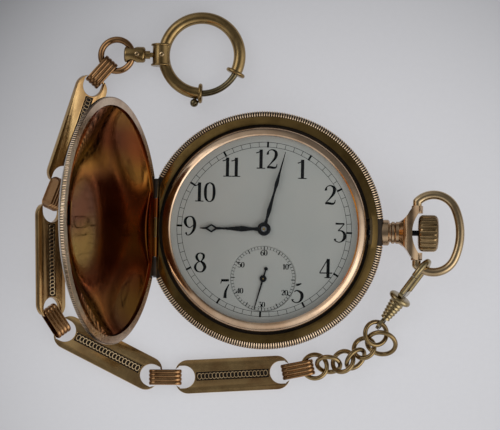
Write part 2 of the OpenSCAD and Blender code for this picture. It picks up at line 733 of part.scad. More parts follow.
module bow() {
    end = [bow_pivot_x, bow_end_y];
    color("tan") translate([0, 0, stem_z]) {
        translate([bow_side_x, 0, 0]) bent_bar(bow_side_r, bow_wire_r, -bow_side_angle, bow_side_angle);
        for (side = [0, 1]) mirror([0, side, 0]) {
            translate([bow_corner_x, bow_corner_y, 0])
                bent_bar(bow_corner_r, bow_wire_r, bow_side_angle, bow_end_angle);
            translate([end[0], end[1], 0]) sphere(r = bow_wire_r, $fn = 32);
            translate([bow_pivot_x, end[1], 0]) rotate([90, 0, 0])
                cylinder(r = bow_wire_r, h = end[1] - ear_y - part_gap, $fn = 32);
            translate([bow_pivot_x, end[1], 0]) rotate([90, 0, 0])
                cylinder(r = bow_pin_r, h = end[1] - ear_y + bow_pin_depth, $fn = 32);
        }
    }
}

module crown() {
    edge = 1.1;
    flute_r = 0.42;
    color("darkgoldenrod") translate([crown_x0, 0, stem_z]) rotate([0, 90, 0]) difference() {
        rotate_extrude() polygon(concat([[0, 0], [crown_r - 1.7, 0]],
            arc([crown_r - edge, edge + 0.1], edge, -90, 0, 6),
            arc([crown_r - edge, crown_len - edge - 0.1], edge, 0, 90, 6),
            [[crown_r - 1.9, crown_len], [0, crown_len]]));
        for (i = [0:crown_flutes - 1]) rotate([0, 0, 360 / crown_flutes * i])
            translate([crown_r + 0.08, 0, -1]) cylinder(r = flute_r, h = crown_len + 2, $fn = 16);
        translate([0, 0, -1]) cylinder(r = stem_r, h = crown_len - 0.5, $fn = 32);
    }
}

module winding_stem() {
    end_x = crown_x0 + crown_len - 1.5;
    color("lightsteelblue") translate([0, 0, stem_z]) rotate([0, 90, 0]) {
        difference() {
            translate([0, 0, pinion_x]) cylinder(r = stem_r, h = end_x - pinion_x, $fn = 32);
            translate([0, 0, clip_x]) tube(stem_r + 1, groove_stem_r, clip_t);
        }
        translate([0, 0, pinion_x]) toothed(12, 0.17, pinion_len, 0);
    }
}

module stem_sleeve() {
    color("silver") translate([0, 0, stem_z]) rotate([0, 90, 0]) difference() {
        union() {
            translate([0, 0, sleeve_x0]) cylinder(r = sleeve_nose_r, h = sleeve_x1 - sleeve_x0, $fn = 48);
            translate([0, 0, sleeve_step_x])
                cylinder(r = sleeve_r, h = sleeve_x1 - sleeve_step_x, $fn = 48);
        }
        translate([0, 0, sleeve_x0 - 1]) cylinder(r = stem_r + run, h = 20, $fn = 32);
        translate([0, 0, cavity_x0]) cylinder(r = cavity_r, h = cavity_x1 - cavity_x0, $fn = 32);
    }
}

module stem_clip() {
    color("silver") translate([clip_x + 0.03, 0, stem_z]) rotate([0, 90, 0]) difference() {
        tube(cavity_r - run, groove_stem_r + run, clip_t - 0.06);
        translate([0, -0.4, -1]) cube([3, 0.8, 3]);
    }
}

module lock_spring() {
    color("steelblue") difference() {
        union() {
            sector(lock_r0, lock_r0 + lock_t, spring_z0, spring_z1, 0, lock_turn);
            sector(lock_r0 + 0.05, lock_r0 + 0.45, spring_z1 - 0.2, band_z1 + 0.2, 0, catch_turn);
        }
        translate([lock_r0 - 2, 0, stem_z]) rotate([0, 90, 0]) cylinder(r = stem_r + 0.15, h = 4, $fn = 32);
    }
}

// Dial and hands

module dial() {
    color("whitesmoke") difference() {
        translate([0, 0, dial_z]) cylinder(r = dial_r, h = dial_t, $fn = 96);
        at(fourth_at, dial_z + dial_t - 0.25) cylinder(r = seconds_r, h = 1, $fn = 64);
        at(fourth_at, dial_z - 1) cylinder(r = 0.3, h = 3, $fn = 32);
        translate([0, 0, dial_z - 1]) cylinder(r = 1.1, h = 3, $fn = 32);
    }
}

hour_tube_r = 0.9;
cannon_tube_r = 0.58;
hour_hand_z = dial_z + dial_t + 0.3;
minute_hand_z = hour_hand_z + 0.4;
seconds_hand_z = dial_z + dial_t - 0.1;

module hour_hand() {
    k = hour_len / hour_outline_len;
    color("midnightblue") translate([0, 0, hour_hand_z]) rotate([0, 0, -hour_angle]) difference() {
        union() {
            cylinder(r = hub_r - 0.1, h = hand_t, $fn = 32);
            linear_extrude(height = hand_t) polygon(hand_points(hour_outline, k));
        }
        translate([0, 0, -1]) cylinder(r = hour_tube_r, h = 3, $fn = 32);
        translate([0, 0, -1]) linear_extrude(height = 3) polygon([[0, 10.5 * k], [0.55, 11.3 * k],
            [0, 12.1 * k], [-0.55, 11.3 * k]]);
    }
}

module minute_hand() {
    color("midnightblue") translate([0, 0, minute_hand_z]) rotate([0, 0, -minute_angle]) difference() {
        union() {
            cylinder(r = hub_r, h = hand_t, $fn = 32);
            linear_extrude(height = hand_t)
                polygon(hand_points(minute_outline, minute_len / minute_outline_len));
        }
        translate([0, 0, -1]) cylinder(r = cannon_tube_r, h = 3, $fn = 32);
    }
}

module seconds_hand() {
    t = 0.12;
    tail = 2.2;
    color("midnightblue") at(fourth_at, seconds_hand_z) rotate([0, 0, -seconds_angle]) difference() {
        union() {
            cylinder(r = 0.75, h = t, $fn = 32);
            linear_extrude(height = t) polygon([[0.2, 0], [0.07, seconds_len], [-0.07, seconds_len],
                [-0.2, 0], [-0.13, -tail], [0.13, -tail]]);
            translate([0, -tail, 0]) cylinder(r = 0.4, h = t, $fn = 32);
        }
        translate([0, 0, -1]) cylinder(r = pivot_r, h = 3, $fn = 32);
    }
}

motion_z = plate_z + plate_t;

module hour_wheel() {
    // a gap faces the minute pinion's tooth
    color("khaki") difference() {
        union() {
            translate([0, 0, motion_z + 0.4]) toothed(hour_teeth, module_motion, 0.25,
                minute_turn + 180 / hour_teeth);
            translate([0, 0, motion_z + 0.4]) cylinder(r = hour_tube_r,
                h = hour_hand_z + hand_t - motion_z - 0.35, $fn = 32);
        }
        translate([0, 0, motion_z]) cylinder(r = cannon_tube_r + 0.04, h = 5, $fn = 32);
    }
}

module cannon_pinion() {
    color("silver") difference() {
        union() {
            translate([0, 0, motion_z + 0.03]) toothed(cannon_teeth, module_motion, 0.28, minute_turn);
            translate([0, 0, motion_z + 0.03]) cylinder(r = cannon_tube_r,
                h = minute_hand_z + hand_t - motion_z + 0.1, $fn = 32);
        }
        translate([0, 0, motion_z - 1]) cylinder(r = center_post_r + run, h = 5, $fn = 32);
    }
}

module minute_wheel() {
    color("khaki") at(minute_wheel_at, motion_z) difference() {
        union() {
            translate([0, 0, 0.05]) toothed(minute_teeth, module_motion, 0.2,
                minute_turn + 180 + 180 / minute_teeth);
            translate([0, 0, 0.05]) toothed(minute_pinion_teeth, module_motion, 0.62, minute_turn + 180);
        }
        translate([0, 0, -1]) cylinder(r = minute_post_r + run, h = 3, $fn = 24);
    }
}

center_post_r = 0.28;
minute_post_r = 0.25;

// Movement

module main_plate() {
    color("silver") difference() {
        union() {
            translate([0, 0, plate_z]) cylinder(r = movement_r - 0.1, h = plate_t, $fn = 96);
            for (a = pillar_turns) at(polar(pillar_ring, a), bridge_z1)
                cylinder(r = pillar_r, h = plate_z - bridge_z1 + 0.1, $fn = 32);
            at(minute_wheel_at, plate_z + 0.1) cylinder(r = minute_post_r, h = plate_t + 0.6, $fn = 24);
        }
        translate([0, 0, plate_z - 1]) cylinder(r = center_post_r + run, h = 4, $fn = 24);
        for (p = concat(jewelled, [balance_at])) {
            at(p, plate_z - 0.01) cylinder(r = jewel_r, h = jewel_t + 0.01, $fn = 24);
            at(p, plate_z - 1) cylinder(r = 0.3, h = 4, $fn = 24);
        }
        at(barrel_at, plate_z - 1) cylinder(r = arbor_r + run, h = 2.4, $fn = 24);
        for (a = pillar_turns) at(polar(pillar_ring, a), bridge_z1 - 1)
            cylinder(r = screw_r, h = 3, $fn = 24);
        at(cock_foot_at, plate_z - 1) cylinder(r = screw_r, h = 2, $fn = 24);
    }
}

module cock_shape(grow) {
    translate(balance_at) circle(r = 2.0 + grow, $fn = 32);
    translate(cock_foot_at) circle(r = cock_foot_r + grow, $fn = 32);
    translate(balance_at) rotate([0, 0, heading(cock_foot_at - balance_at)])
        translate([0, -1.4 - grow]) square([norm(cock_foot_at - balance_at), 2.8 + 2 * grow]);
}

module train_bridge() {
    color("gainsboro") difference() {
        union() {
            translate([0, 0, bridge_z0]) cylinder(r = movement_r - 0.4, h = bridge_t, $fn = 96);
            at(crown_wheel_at, winding_z - 0.05) cylinder(r = 0.5, h = 1, $fn = 24);
            at(click_at, winding_z - 0.05) cylinder(r = 0.3, h = 1, $fn = 24);
        }
        at(balance_at, bridge_z0 - 1) cylinder(r = pallet_reach - jewel_r - 0.25, h = 4, $fn = 48);
        translate([0, 0, bridge_z0 - 1]) linear_extrude(height = 4) cock_shape(0.3);
        translate([0, 0, bridge_z0 - 1]) cylinder(r = pivot_r + 0.1 + run, h = 4, $fn = 24);
        for (p = jewelled) {
            at(p, bridge_z1 - jewel_t) cylinder(r = jewel_r, h = jewel_t + 1, $fn = 24);
            at(p, bridge_z0 - 1) cylinder(r = 0.3, h = 4, $fn = 24);
        }
        at(barrel_at, bridge_z0 - 1) cylinder(r = barrel_arbor_r + run, h = 4, $fn = 32);
        for (a = pillar_turns) at(polar(pillar_ring, a), bridge_z0 - 1)
            cylinder(r = screw_r, h = 4, $fn = 24);
    }
}

barrel_arbor_r = 0.7;

module balance_cock() {
    color("gainsboro") difference() {
        union() {
            translate([0, 0, bridge_z0]) linear_extrude(height = bridge_t) cock_shape(0);
            at(cock_foot_at, bridge_z0) cylinder(r = cock_foot_r, h = plate_z - bridge_z0, $fn = 32);
        }
        at(balance_at, bridge_z1 - jewel_t) cylinder(r = jewel_r, h = 1, $fn = 24);
        at(balance_at, bridge_z0 - 1) cylinder(r = 0.3, h = 4, $fn = 24);
        at(cock_foot_at, bridge_z0 - 1) cylinder(r = screw_r, h = 6, $fn = 24);
    }
}

// An arbor between the jewels of bridge and plate, with its pivots
module arbor(p) {
    at(p, bridge_z1 + run) cylinder(r = arbor_r, h = plate_z - bridge_z1 - 2 * run, $fn = 24);
    at(p, bridge_z1 - jewel_t) cylinder(r = pivot_r, h = plate_z - bridge_z1 + 2 * jewel_t, $fn = 24);
}

module mainspring_barrel() {
    color("khaki") at(barrel_at, 0) difference() {
        union() {
            translate([0, 0, barrel_z0]) cylinder(r = module_barrel * barrel_teeth / 2 - 0.48,
                h = barrel_z1 - barrel_z0, $fn = 64);
            translate([0, 0, barrel_teeth_z]) toothed(barrel_teeth, module_barrel, barrel_teeth_t,
                barrel_turn + 180);
        }
        translate([0, 0, barrel_z0 - 1]) cylinder(r = barrel_arbor_r + run, h = 6, $fn = 32);
        translate([0, 0, barrel_z0 + 0.3]) tube(module_barrel * barrel_teeth / 2 - 0.9,
            1.6, barrel_z1 - barrel_z0 - 0.6);
    }
}

module ratchet_wheel() {
    color("silver") at(barrel_at, winding_z) {
        toothed(ratchet_teeth, module_winding, winding_t, winding_turn);
        cylinder(r = barrel_arbor_r, h = barrel_z1 + 0.05 - winding_z, $fn = 32);
        cylinder(r = arbor_r, h = plate_z + 0.8 - winding_z, $fn = 24);
    }
}

module crown_wheel() {
    color("silver") at(crown_wheel_at, winding_z) difference() {
        toothed(crown_teeth, module_winding, winding_t, winding_turn + 180 + 180 / crown_teeth);
        translate([0, 0, -1]) cylinder(r = 0.5 + run, h = 3, $fn = 24);
    }
}

module click() {
    nose = 5.3 - module_winding * (ratchet_teeth / 2 + 0.8) - 0.12;
    color("silver") at(click_at, winding_z) rotate([0, 0, -45]) difference() {
        union() {
            cylinder(r = 0.75, h = winding_t, $fn = 32);
            linear_extrude(height = winding_t) polygon([[0, -0.7], [nose - 0.3, -0.1], [nose, 0.1],
                [nose - 0.3, 0.25], [0, 0.7]]);
        }
        translate([0, 0, -1]) cylinder(r = 0.3 + run, h = 3, $fn = 24);
    }
}

module center_wheel() {
    color("khaki") {
        translate([0, 0, center_z]) toothed(center_teeth, module_center, wheel_t, heading(third_at));
        translate([0, 0, barrel_teeth_z - 0.2]) toothed(center_pinion_teeth, module_barrel, 0.8,
            barrel_turn + 180 / center_pinion_teeth);
        translate([0, 0, bridge_z1 + run]) cylinder(r = arbor_r, h = plate_z - bridge_z1 - 2 * run, $fn = 24);
        translate([0, 0, bridge_z0]) cylinder(r = pivot_r + 0.1, h = bridge_t + 0.5, $fn = 24);
        translate([0, 0, plate_z - 0.5]) cylinder(r = center_post_r,
            h = minute_hand_z - plate_z + 0.6, $fn = 24);
    }
}

module third_wheel() {
    color("khaki") {
        at(third_at, third_z) toothed(third_teeth, module_third, wheel_t,
            heading(fourth_at - third_at));
        at(third_at, center_z - 0.2) toothed(third_pinion_teeth, module_center, 0.5,
            heading(-third_at) + 180 / third_pinion_teeth);
        arbor(third_at);
    }
}

module fourth_wheel() {
    color("khaki") {
        at(fourth_at, fourth_z) toothed(fourth_teeth, module_fourth, wheel_t, escape_turn);
        at(fourth_at, third_z - 0.1) toothed(fourth_pinion_teeth, module_third, 0.5,
            heading(third_at - fourth_at) + 180 / fourth_pinion_teeth);
        arbor(fourth_at);
        at(fourth_at, plate_z) cylinder(r = pivot_r, h = seconds_hand_z + 0.25 - plate_z, $fn = 24);
    }
}

module escape_wheel() {
    tooth = 360 / escape_teeth;
    root_r = escape_r - 0.7;
    color("goldenrod") {
        at(escape_at, escape_z) linear_extrude(height = wheel_t) difference() {
            polygon([for (i = [0:escape_teeth - 1]) for (k = [0:3]) polar([root_r, root_r, escape_r,
                escape_r][k], tooth * (i + [0, 0.55, 0.68, 0.75][k]))]);
            for (i = [0:4]) rotate([0, 0, 72 * i]) translate([1.45, 0]) circle(r = 0.5, $fn = 24);
        }
        at(escape_at, fourth_z - 0.2) toothed(escape_pinion_teeth, module_fourth, 0.6,
            escape_turn + 180 + 180 / escape_pinion_teeth);
        arbor(escape_at);
    }
}

module pallet_fork() {
    fork = pallet_reach - roller_r - 0.2;
    bar = 0.4;
    color("silver") {
        at(pallet_at, escape_z) rotate([0, 0, to_balance]) linear_extrude(height = wheel_t) {
            translate([0, -bar / 2]) square([fork, bar]);
            for (side = [-1, 1]) polygon([[0, side * 0.3], [0.3, 0],
                [-1.0, side * 1.95], [-1.3, side * 1.85]]);
            circle(r = 0.5, $fn = 24);
        }
        arbor(pallet_at);
    }
}

module balance_wheel() {
    rim_t = 0.65;
    color("goldenrod") {
        at(balance_at, balance_z) tube(balance_r, balance_r - rim_t, balance_t);
        at(balance_at, balance_z + 0.2) translate([-balance_r + rim_t / 2, -0.35, 0])
            cube([2 * balance_r - rim_t, 0.7, 0.3]);
        at(balance_at, escape_z - 0.1) cylinder(r = roller_r, h = 0.35, $fn = 32);
        arbor(balance_at);
    }
}

// The hairspring is a flat spiral strip round the balance staff
hair_r0 = 0.6;
hair_r1 = 3.0;
hair_turns = 6;
hair_w = 0.09;
hair_steps = 20;
function hair_r(i) = hair_r0 + (hair_r1 - hair_r0) * i / (hair_turns * hair_steps);

module hairspring() {
    n = hair_turns * hair_steps;
    color("steelblue") at(balance_at, balance_z - 0.6) {
        linear_extrude(height = 0.2) polygon(concat(
            [for (i = [0:n]) polar(hair_r(i), 360 * i / hair_steps)],
            [for (i = [n:-1:0]) polar(hair_r(i) + hair_w, 360 * i / hair_steps)]));
        tube(hair_r0 + 0.06, arbor_r, 0.4);
    }
}

module jewels() {
    color("crimson") {
        for (p = concat(jewelled, [balance_at])) {
            at(p, bridge_z1 - jewel_t) tube(jewel_r, pivot_r + run, jewel_t);
            at(p, plate_z) tube(jewel_r, pivot_r + run, jewel_t);
        }
    }
}

module bridge_screws() {
    color("lightsteelblue") for (p = concat([for (a = pillar_turns) polar(pillar_ring, a)],
        [cock_foot_at])) {
        at(p, bridge_z0 - 0.35) difference() {
            cylinder(r = screw_head_r, h = 0.35, $fn = 24);
            translate([-2, -0.12, -0.1]) cube([4, 0.24, 0.25]);
        }
        at(p, bridge_z0 - 0.1) cylinder(r = screw_r, h = 2.1, $fn = 24);
    }
}

// Clip

module swivel_base() {
    cone_r0 = 2.0;
    cone_r1 = 1.1;
    ribs = 6;
    rib = (cone_len - 1.5) / ribs;
    eye_r = eye_hole_r + eye_wall;
    color("darkkhaki") along_clip() translate([hook_len, 0, 0]) difference() {
        union() {
            rotate([0, 90, 0]) rotate_extrude() polygon(concat([[0, 0.1]],
                arc([clip_collar_r - 0.6, 0.7], 0.6, -90, 90, 8),
                [for (i = [0:ribs - 1]) for (k = [0:1]) let (x = 1.4 + rib * (i + k * 0.5))
                    [cone_r0 + (cone_r1 - cone_r0) * x / cone_len - k * 0.18, x]],
                [[cone_r1, cone_len], [0, cone_len]]));
            translate([cone_len - 0.2, -eye_t / 2, -cone_r1 + 0.1])
                cube([eye_offset - eye_hole_r, eye_t, 2 * cone_r1 - 0.2]);
            translate([cone_len + eye_offset, -eye_t / 2, 0]) rotate([-90, 0, 0])
                cylinder(r = eye_r, h = eye_t, $fn = 32);
        }
        translate([cone_len + eye_offset, -3, 0]) rotate([-90, 0, 0])
            cylinder(r = eye_hole_r, h = 6, $fn = 32);
        translate([-1, 0, 0]) rotate([0, 90, 0]) cylinder(r = swivel_pin_r + run, h = 4.2, $fn = 32);
    }
}

swivel_pin_r = 0.6;
gate_pin_x = hook_len - 0.95;
gate_pin_z = hook_bend_r - 0.75;
nose_x = hook_seat + 0.9;

// The fixed arm runs from the collar round the bend to the nose
module swivel_hook() {
    color("darkkhaki") along_clip() difference() {
        union() {
            translate([hook_seat, 0, 0]) rotate([90, 0, 0])
                bent_bar(hook_bend_r, hook_wire_r, 90, 270);
            translate([hook_seat, 0, -hook_bend_r]) rotate([0, 90, 0])
                cylinder(r = hook_wire_r, h = hook_len - hook_seat - 1.5, $fn = 32);
            translate([hook_seat, 0, hook_bend_r]) rotate([0, 90, 0])
                cylinder(r = hook_wire_r, h = nose_x - hook_seat, $fn = 32);
            translate([hook_len - 1.7, -0.55, -hook_bend_r - 0.55])
                cube([1.7, 1.1, 2 * hook_bend_r - 0.35]);
            translate([hook_len - 0.1, 0, 0]) rotate([0, 90, 0])
                cylinder(r = swivel_pin_r, h = 3, $fn = 32);
        }
        translate([gate_pin_x, -2, gate_pin_z]) rotate([-90, 0, 0]) cylinder(r = 1.15, h = 4, $fn = 32);
    }
}

module swivel_gate() {
    color("darkkhaki") along_clip() {
        translate([nose_x + 0.2, 0, hook_bend_r]) rotate([0, 90, 0])
            cylinder(r = hook_wire_r - 0.1, h = gate_pin_x - nose_x - 0.6, $fn = 32);
        translate([gate_pin_x, -0.5, gate_pin_z]) rotate([-90, 0, 0])
            cylinder(r = 0.85, h = 1.0, $fn = 32);
    }
}

// Chain links

module torus(d, wire) {
    rotate_extrude() translate([(d - wire) / 2, 0]) circle(r = wire / 2, $fn = 32);
}

module small_ring(lie) {
    color("darkkhaki") at([lie[0], lie[1]], lie[2]) rotate([0, 0, lie[3]]) rotate([lie[4], 0, 0])
        torus(lie[5], ring_wire);
}

// A ribbed band is a flat loop of sheet
module band_link(i) {
    color("darkkhaki") along(i) translate([band_pitch / 2, band_w / 2, 0]) rotate([90, 0, 0])
        linear_extrude(height = band_w) difference() {
            polygon(round_rect(band_len, band_high, band_high / 2 - 0.01, 8));
            polygon(round_rect(band_len - 2 * band_wall, band_high - 2 * band_wall,
                band_high / 2 - band_wall - 0.01, 8));
        }
}

// A panel is a plate with an eye at each end and a sunk strip along its middle
module panel_link(i) {
    eye_w = band_w + 1.5;
    eye_x0 = panel_len / 2 - bar_w;
    eye_flat = 1.0;
    strip_x = eye_x0 - eye_flat - eye_w / 2 - 0.25;
    color("darkkhaki") along(i) translate([panel_pitch / 2, 0, 0]) difference() {
        translate([0, 0, -panel_t / 2]) linear_extrude(height = panel_t)
            polygon(round_rect(panel_len, panel_w, 2.8, 8));
        for (side = [0, 180]) rotate([0, 0, side]) {
            translate([0, 0, -2]) linear_extrude(height = 4) {
                translate([eye_x0 - eye_flat, -eye_w / 2]) square([eye_flat, eye_w]);
                translate([eye_x0 - eye_flat + 0.01, 0]) circle(r = eye_w / 2, $fn = 32);
            }
            for (z = [bar_t / 2, -bar_t / 2 - 1])
                translate([eye_x0 - 0.1, -eye_w / 2, z]) cube([bar_w + 1, eye_w, 1]);
        }
        for (z = [panel_t / 2 - 0.3, -panel_t / 2 - 1])
            translate([-strip_x, -strip_w / 2, z]) cube([2 * strip_x, strip_w, 1.3]);
    }
}

module end_ring() {
    color("darkkhaki") at(joint_at(10) - polar(end_ring_rc, links[9][0]), (links[9][2] + links[10][2]) / 2)
        rotate([links[9][1], -end_ring_tilt, links[9][0]]) torus(end_ring_d, end_wire);
}

// Bolt ring and its swivel

neck_r1 = 0.55;
collar_off = 0.6;
bolt_center_x = 2.35 + bolt_ring_rc;

module bolt_swivel() {
    color("saddlebrown") along(10) difference() {
        union() {
            rotate([0, 90, 0]) rotate_extrude() polygon(concat([[0, -1.75]],
                arc([1.25, -1.25], 0.5, -90, 0, 5), arc([1.15, barrel_x - 0.6], 0.6, 0, 90, 5),
                [[0, barrel_x]]));
            rotate([0, 90, 0]) cylinder(r = 0.9, h = neck_x, $fn = 32);
            rotate([0, 90, 0]) cylinder(r = neck_r1, h = collar_x + 1.6, $fn = 32);
        }
        translate([-0.2, -3, 0]) rotate([-90, 0, 0]) cylinder(r = end_wire / 2 + 0.6, h = 6, $fn = 32);
    }
}

knob_turn = -98;

// One end flange of the gap, square to the tube
module flange(a) {
    rotate([0, 0, a]) translate([bolt_ring_rc, 0, 0]) rotate([-90, 0, 0]) rotate_extrude()
        polygon(concat([[0, -0.45]], arc([1.75, 0], 0.45, -90, 90, 8), [[0, 0.45]]));
}

module bolt_ring() {
    color("darkkhaki") along(11) translate([bolt_center_x, 0, 0]) difference() {
        union() {
            bent_bar(bolt_ring_rc, tube_r, gap_end, 360 + gap_start);
            flange(gap_start - 2);
            flange(gap_end + 2);
            translate([-bolt_ring_rc - collar_off, -2.2, 0]) rotate([-90, 0, 0])
                cylinder(r = 1.9, h = 4.4, $fn = 32);
            for (y = [-2.2, 2.2]) translate([-bolt_ring_rc - collar_off, y, 0]) rotate([-90, 0, 0])
                rotate_extrude() polygon(concat([[0, -0.25]], arc([2.0, 0], 0.25, -90, 90, 6), [[0, 0.25]]));
        }
        bent_bar(bolt_ring_rc, bolt_r + run, -164 - bolt_travel / 4, gap_start + 12);
        bent_bar(bolt_ring_rc, bolt_r + run, gap_end - 12, gap_end + 3);
        rotate([0, 0, knob_turn - bolt_travel - 3]) rotate_extrude(angle = bolt_travel + 6)
            translate([bolt_ring_rc, -0.42]) square([4, 0.84]);
        translate([-bolt_center_x - 1, 0, 0]) rotate([0, 90, 0])
            cylinder(r = neck_r1 + run, h = 2.7, $fn = 32);
    }
}

module bolt() {
    color("darkolivegreen") along(11) translate([bolt_center_x, 0, 0]) {
        bent_bar(bolt_ring_rc, bolt_r, -116, gap_end + 1.5);
        rotate([0, 0, knob_turn]) translate([bolt_ring_rc, 0, 0]) rotate([0, 90, 0])
            cylinder(r = 0.36, h = 2.0, $fn = 24);
        rotate([0, 0, knob_turn]) translate([bolt_ring_rc + 2.2, 0, 0]) sphere(r = 0.9, $fn = 24);
    }
}

case_center();
front_cover();
back_cover();
dust_cover();
bezel();
crystal();
hinge_pins();
pendant();
bow();
crown();
winding_stem();
stem_sleeve();
stem_clip();
lock_spring();
dial();
hour_hand();
minute_hand();
seconds_hand();
hour_wheel();
cannon_pinion();
minute_wheel();
main_plate();
train_bridge();
balance_cock();
mainspring_barrel();
ratchet_wheel();
crown_wheel();
click();
center_wheel();
third_wheel();
fourth_wheel();
escape_wheel();
pallet_fork();
balance_wheel();
hairspring();
jewels();
bridge_screws();
swivel_base();
swivel_hook();
swivel_gate();
small_ring(ring_a_lie);  // ring_a
small_ring(ring_b_lie);  // ring_b
small_ring(ring_c_lie);  // ring_c
small_ring(ring_d_lie);  // ring_d
small_ring(ring_e_lie);  // ring_e
small_ring(ring_f_lie);  // ring_f
small_ring(ring_g_lie);  // ring_g
band_link(0);  // band_1
panel_link(1);  // panel_1
band_link(2);  // band_2
panel_link(3);  // panel_2
band_link(4);  // band_3
panel_link(5);  // panel_3
band_link(6);  // band_4
panel_link(7);  // panel_4
band_link(8);  // band_5
end_ring();
bolt_swivel();
bolt_ring();
bolt();
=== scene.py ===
"""Dresses the open full hunter pocket watch and its panel chain, in metres, in the row frame.

The watch lies on its back with the front cover open to the left and the chain laid
round it. Each class below makes the visible detail of one sub-assembly, gives every
sub-part its finish and lets every new piece ride the body that carries it.
"""

import json
import logging
import math
from dataclasses import dataclass, field
from enum import Enum
from typing import Sequence

import bmesh
import bpy
import numpy as np
from mathutils import Matrix, Vector


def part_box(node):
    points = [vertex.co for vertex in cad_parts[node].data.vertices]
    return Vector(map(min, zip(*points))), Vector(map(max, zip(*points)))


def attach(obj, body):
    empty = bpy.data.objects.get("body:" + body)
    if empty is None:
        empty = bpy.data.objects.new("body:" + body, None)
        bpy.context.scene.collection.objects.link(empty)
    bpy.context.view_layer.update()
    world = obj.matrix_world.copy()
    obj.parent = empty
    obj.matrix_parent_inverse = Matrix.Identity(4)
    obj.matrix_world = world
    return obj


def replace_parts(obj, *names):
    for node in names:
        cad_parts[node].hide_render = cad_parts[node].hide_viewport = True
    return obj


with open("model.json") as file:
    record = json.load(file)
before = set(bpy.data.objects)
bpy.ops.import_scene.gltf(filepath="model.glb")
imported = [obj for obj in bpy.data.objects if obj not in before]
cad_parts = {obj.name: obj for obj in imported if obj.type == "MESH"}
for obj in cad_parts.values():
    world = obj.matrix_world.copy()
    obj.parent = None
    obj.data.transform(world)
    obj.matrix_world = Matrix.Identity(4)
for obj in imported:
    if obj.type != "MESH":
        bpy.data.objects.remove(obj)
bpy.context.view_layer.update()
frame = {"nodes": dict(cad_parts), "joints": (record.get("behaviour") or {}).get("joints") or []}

MM = 0.001
LOG = logging.getLogger("pocket_watch")
Color = tuple[float, float, float]
Screen = tuple[int, int, int]
Point = tuple[float, float]
Place = tuple[float, float, float]
Stroke = list[Place]
Socket = bpy.types.NodeSocket

# Cells of fine wear and of shallow dents in a metre of surface, and the wear's span of values
WEAR_CELLS = 900.0
DENT_CELLS = 420.0
WEAR_SPAN = (0.35, 0.68)
# Points nearer than this, in millimetres, are joined
JOIN_MM = 0.0002


def linear(*screen: int) -> Color:
    """Turns a colour as it shows on a screen into the linear values of a shader.

    Args:
        screen: Red, green and blue, 0 to 255.

    Returns:
        The linear colour, 0 to 1.
    """
    parts = [part / 255 for part in screen]
    return tuple(p / 12.92 if p <= 0.04045 else ((p + 0.055) / 1.055) ** 2.4 for p in parts)


def polar(radius: float, degrees: float) -> Point:
    """Point at a radius and an angle, counter-clockwise from +X."""
    turn = math.radians(degrees)
    return (radius * math.cos(turn), radius * math.sin(turn))


def clock(radius: float, degrees: float) -> Point:
    """Point at a radius and an angle, clockwise from twelve o'clock."""
    return polar(radius, 90 - degrees)


# Finishes


class Slot(Enum):
    """The record's material slots, one named by each finish."""

    GOLD = "gold"
    ROSE_GOLD = "rose_gold"
    CHAIN_GOLD = "chain_gold"
    INNER_GOLD = "inner_gold"
    STEEL = "steel"
    NICKEL = "nickel"
    BLUED_STEEL = "blued_steel"
    BRASS = "brass"
    ENAMEL = "enamel"
    GLASS = "glass"
    RUBY = "ruby"


class NodeTree:
    """A shader node tree, built node by node."""

    def __init__(self, tree: bpy.types.NodeTree) -> None:
        """Takes the tree to build in."""
        self.tree = tree

    def plug(self, socket: Socket, value: object) -> None:
        """Links a socket to another node's, or sets its plain value.

        Args:
            socket: Socket to feed.
            value: A node's output, or the plain value.
        """
        if isinstance(value, Socket):
            self.tree.links.new(value, socket)
        else:
            socket.default_value = (*value, 1.0) if socket.type == "RGBA" else value

    def node(self, kind: str, inputs: dict[str | int, object], **settings: object) -> bpy.types.Node:
        """Adds a node.

        Args:
            kind: Kind of the node.
            inputs: What its inputs take, by name or number.
            settings: The node's own settings.

        Returns:
            The node.
        """
        node = self.tree.nodes.new("ShaderNode" + kind)
        for name, value in settings.items():
            setattr(node, name, value)
        for name, value in inputs.items():
            self.plug(node.inputs[name], value)
        return node

    def spread(self, value: Socket, low: float, high: float, first: float, last: float,
               curve: str = "LINEAR") -> Socket:
        """Maps a value between two positions to two numbers, clamped."""
        inputs = {"Value": value, "From Min": low, "From Max": high, "To Min": first, "To Max": last}
        return self.node("MapRange", inputs, interpolation_type=curve).outputs["Result"]

    def math(self, kind: str, first: Socket | float, second: Socket | float) -> Socket:
        """Adds a math node of that kind and returns its value's socket."""
        return self.node("Math", {0: first, 1: second}, operation=kind).outputs["Value"]


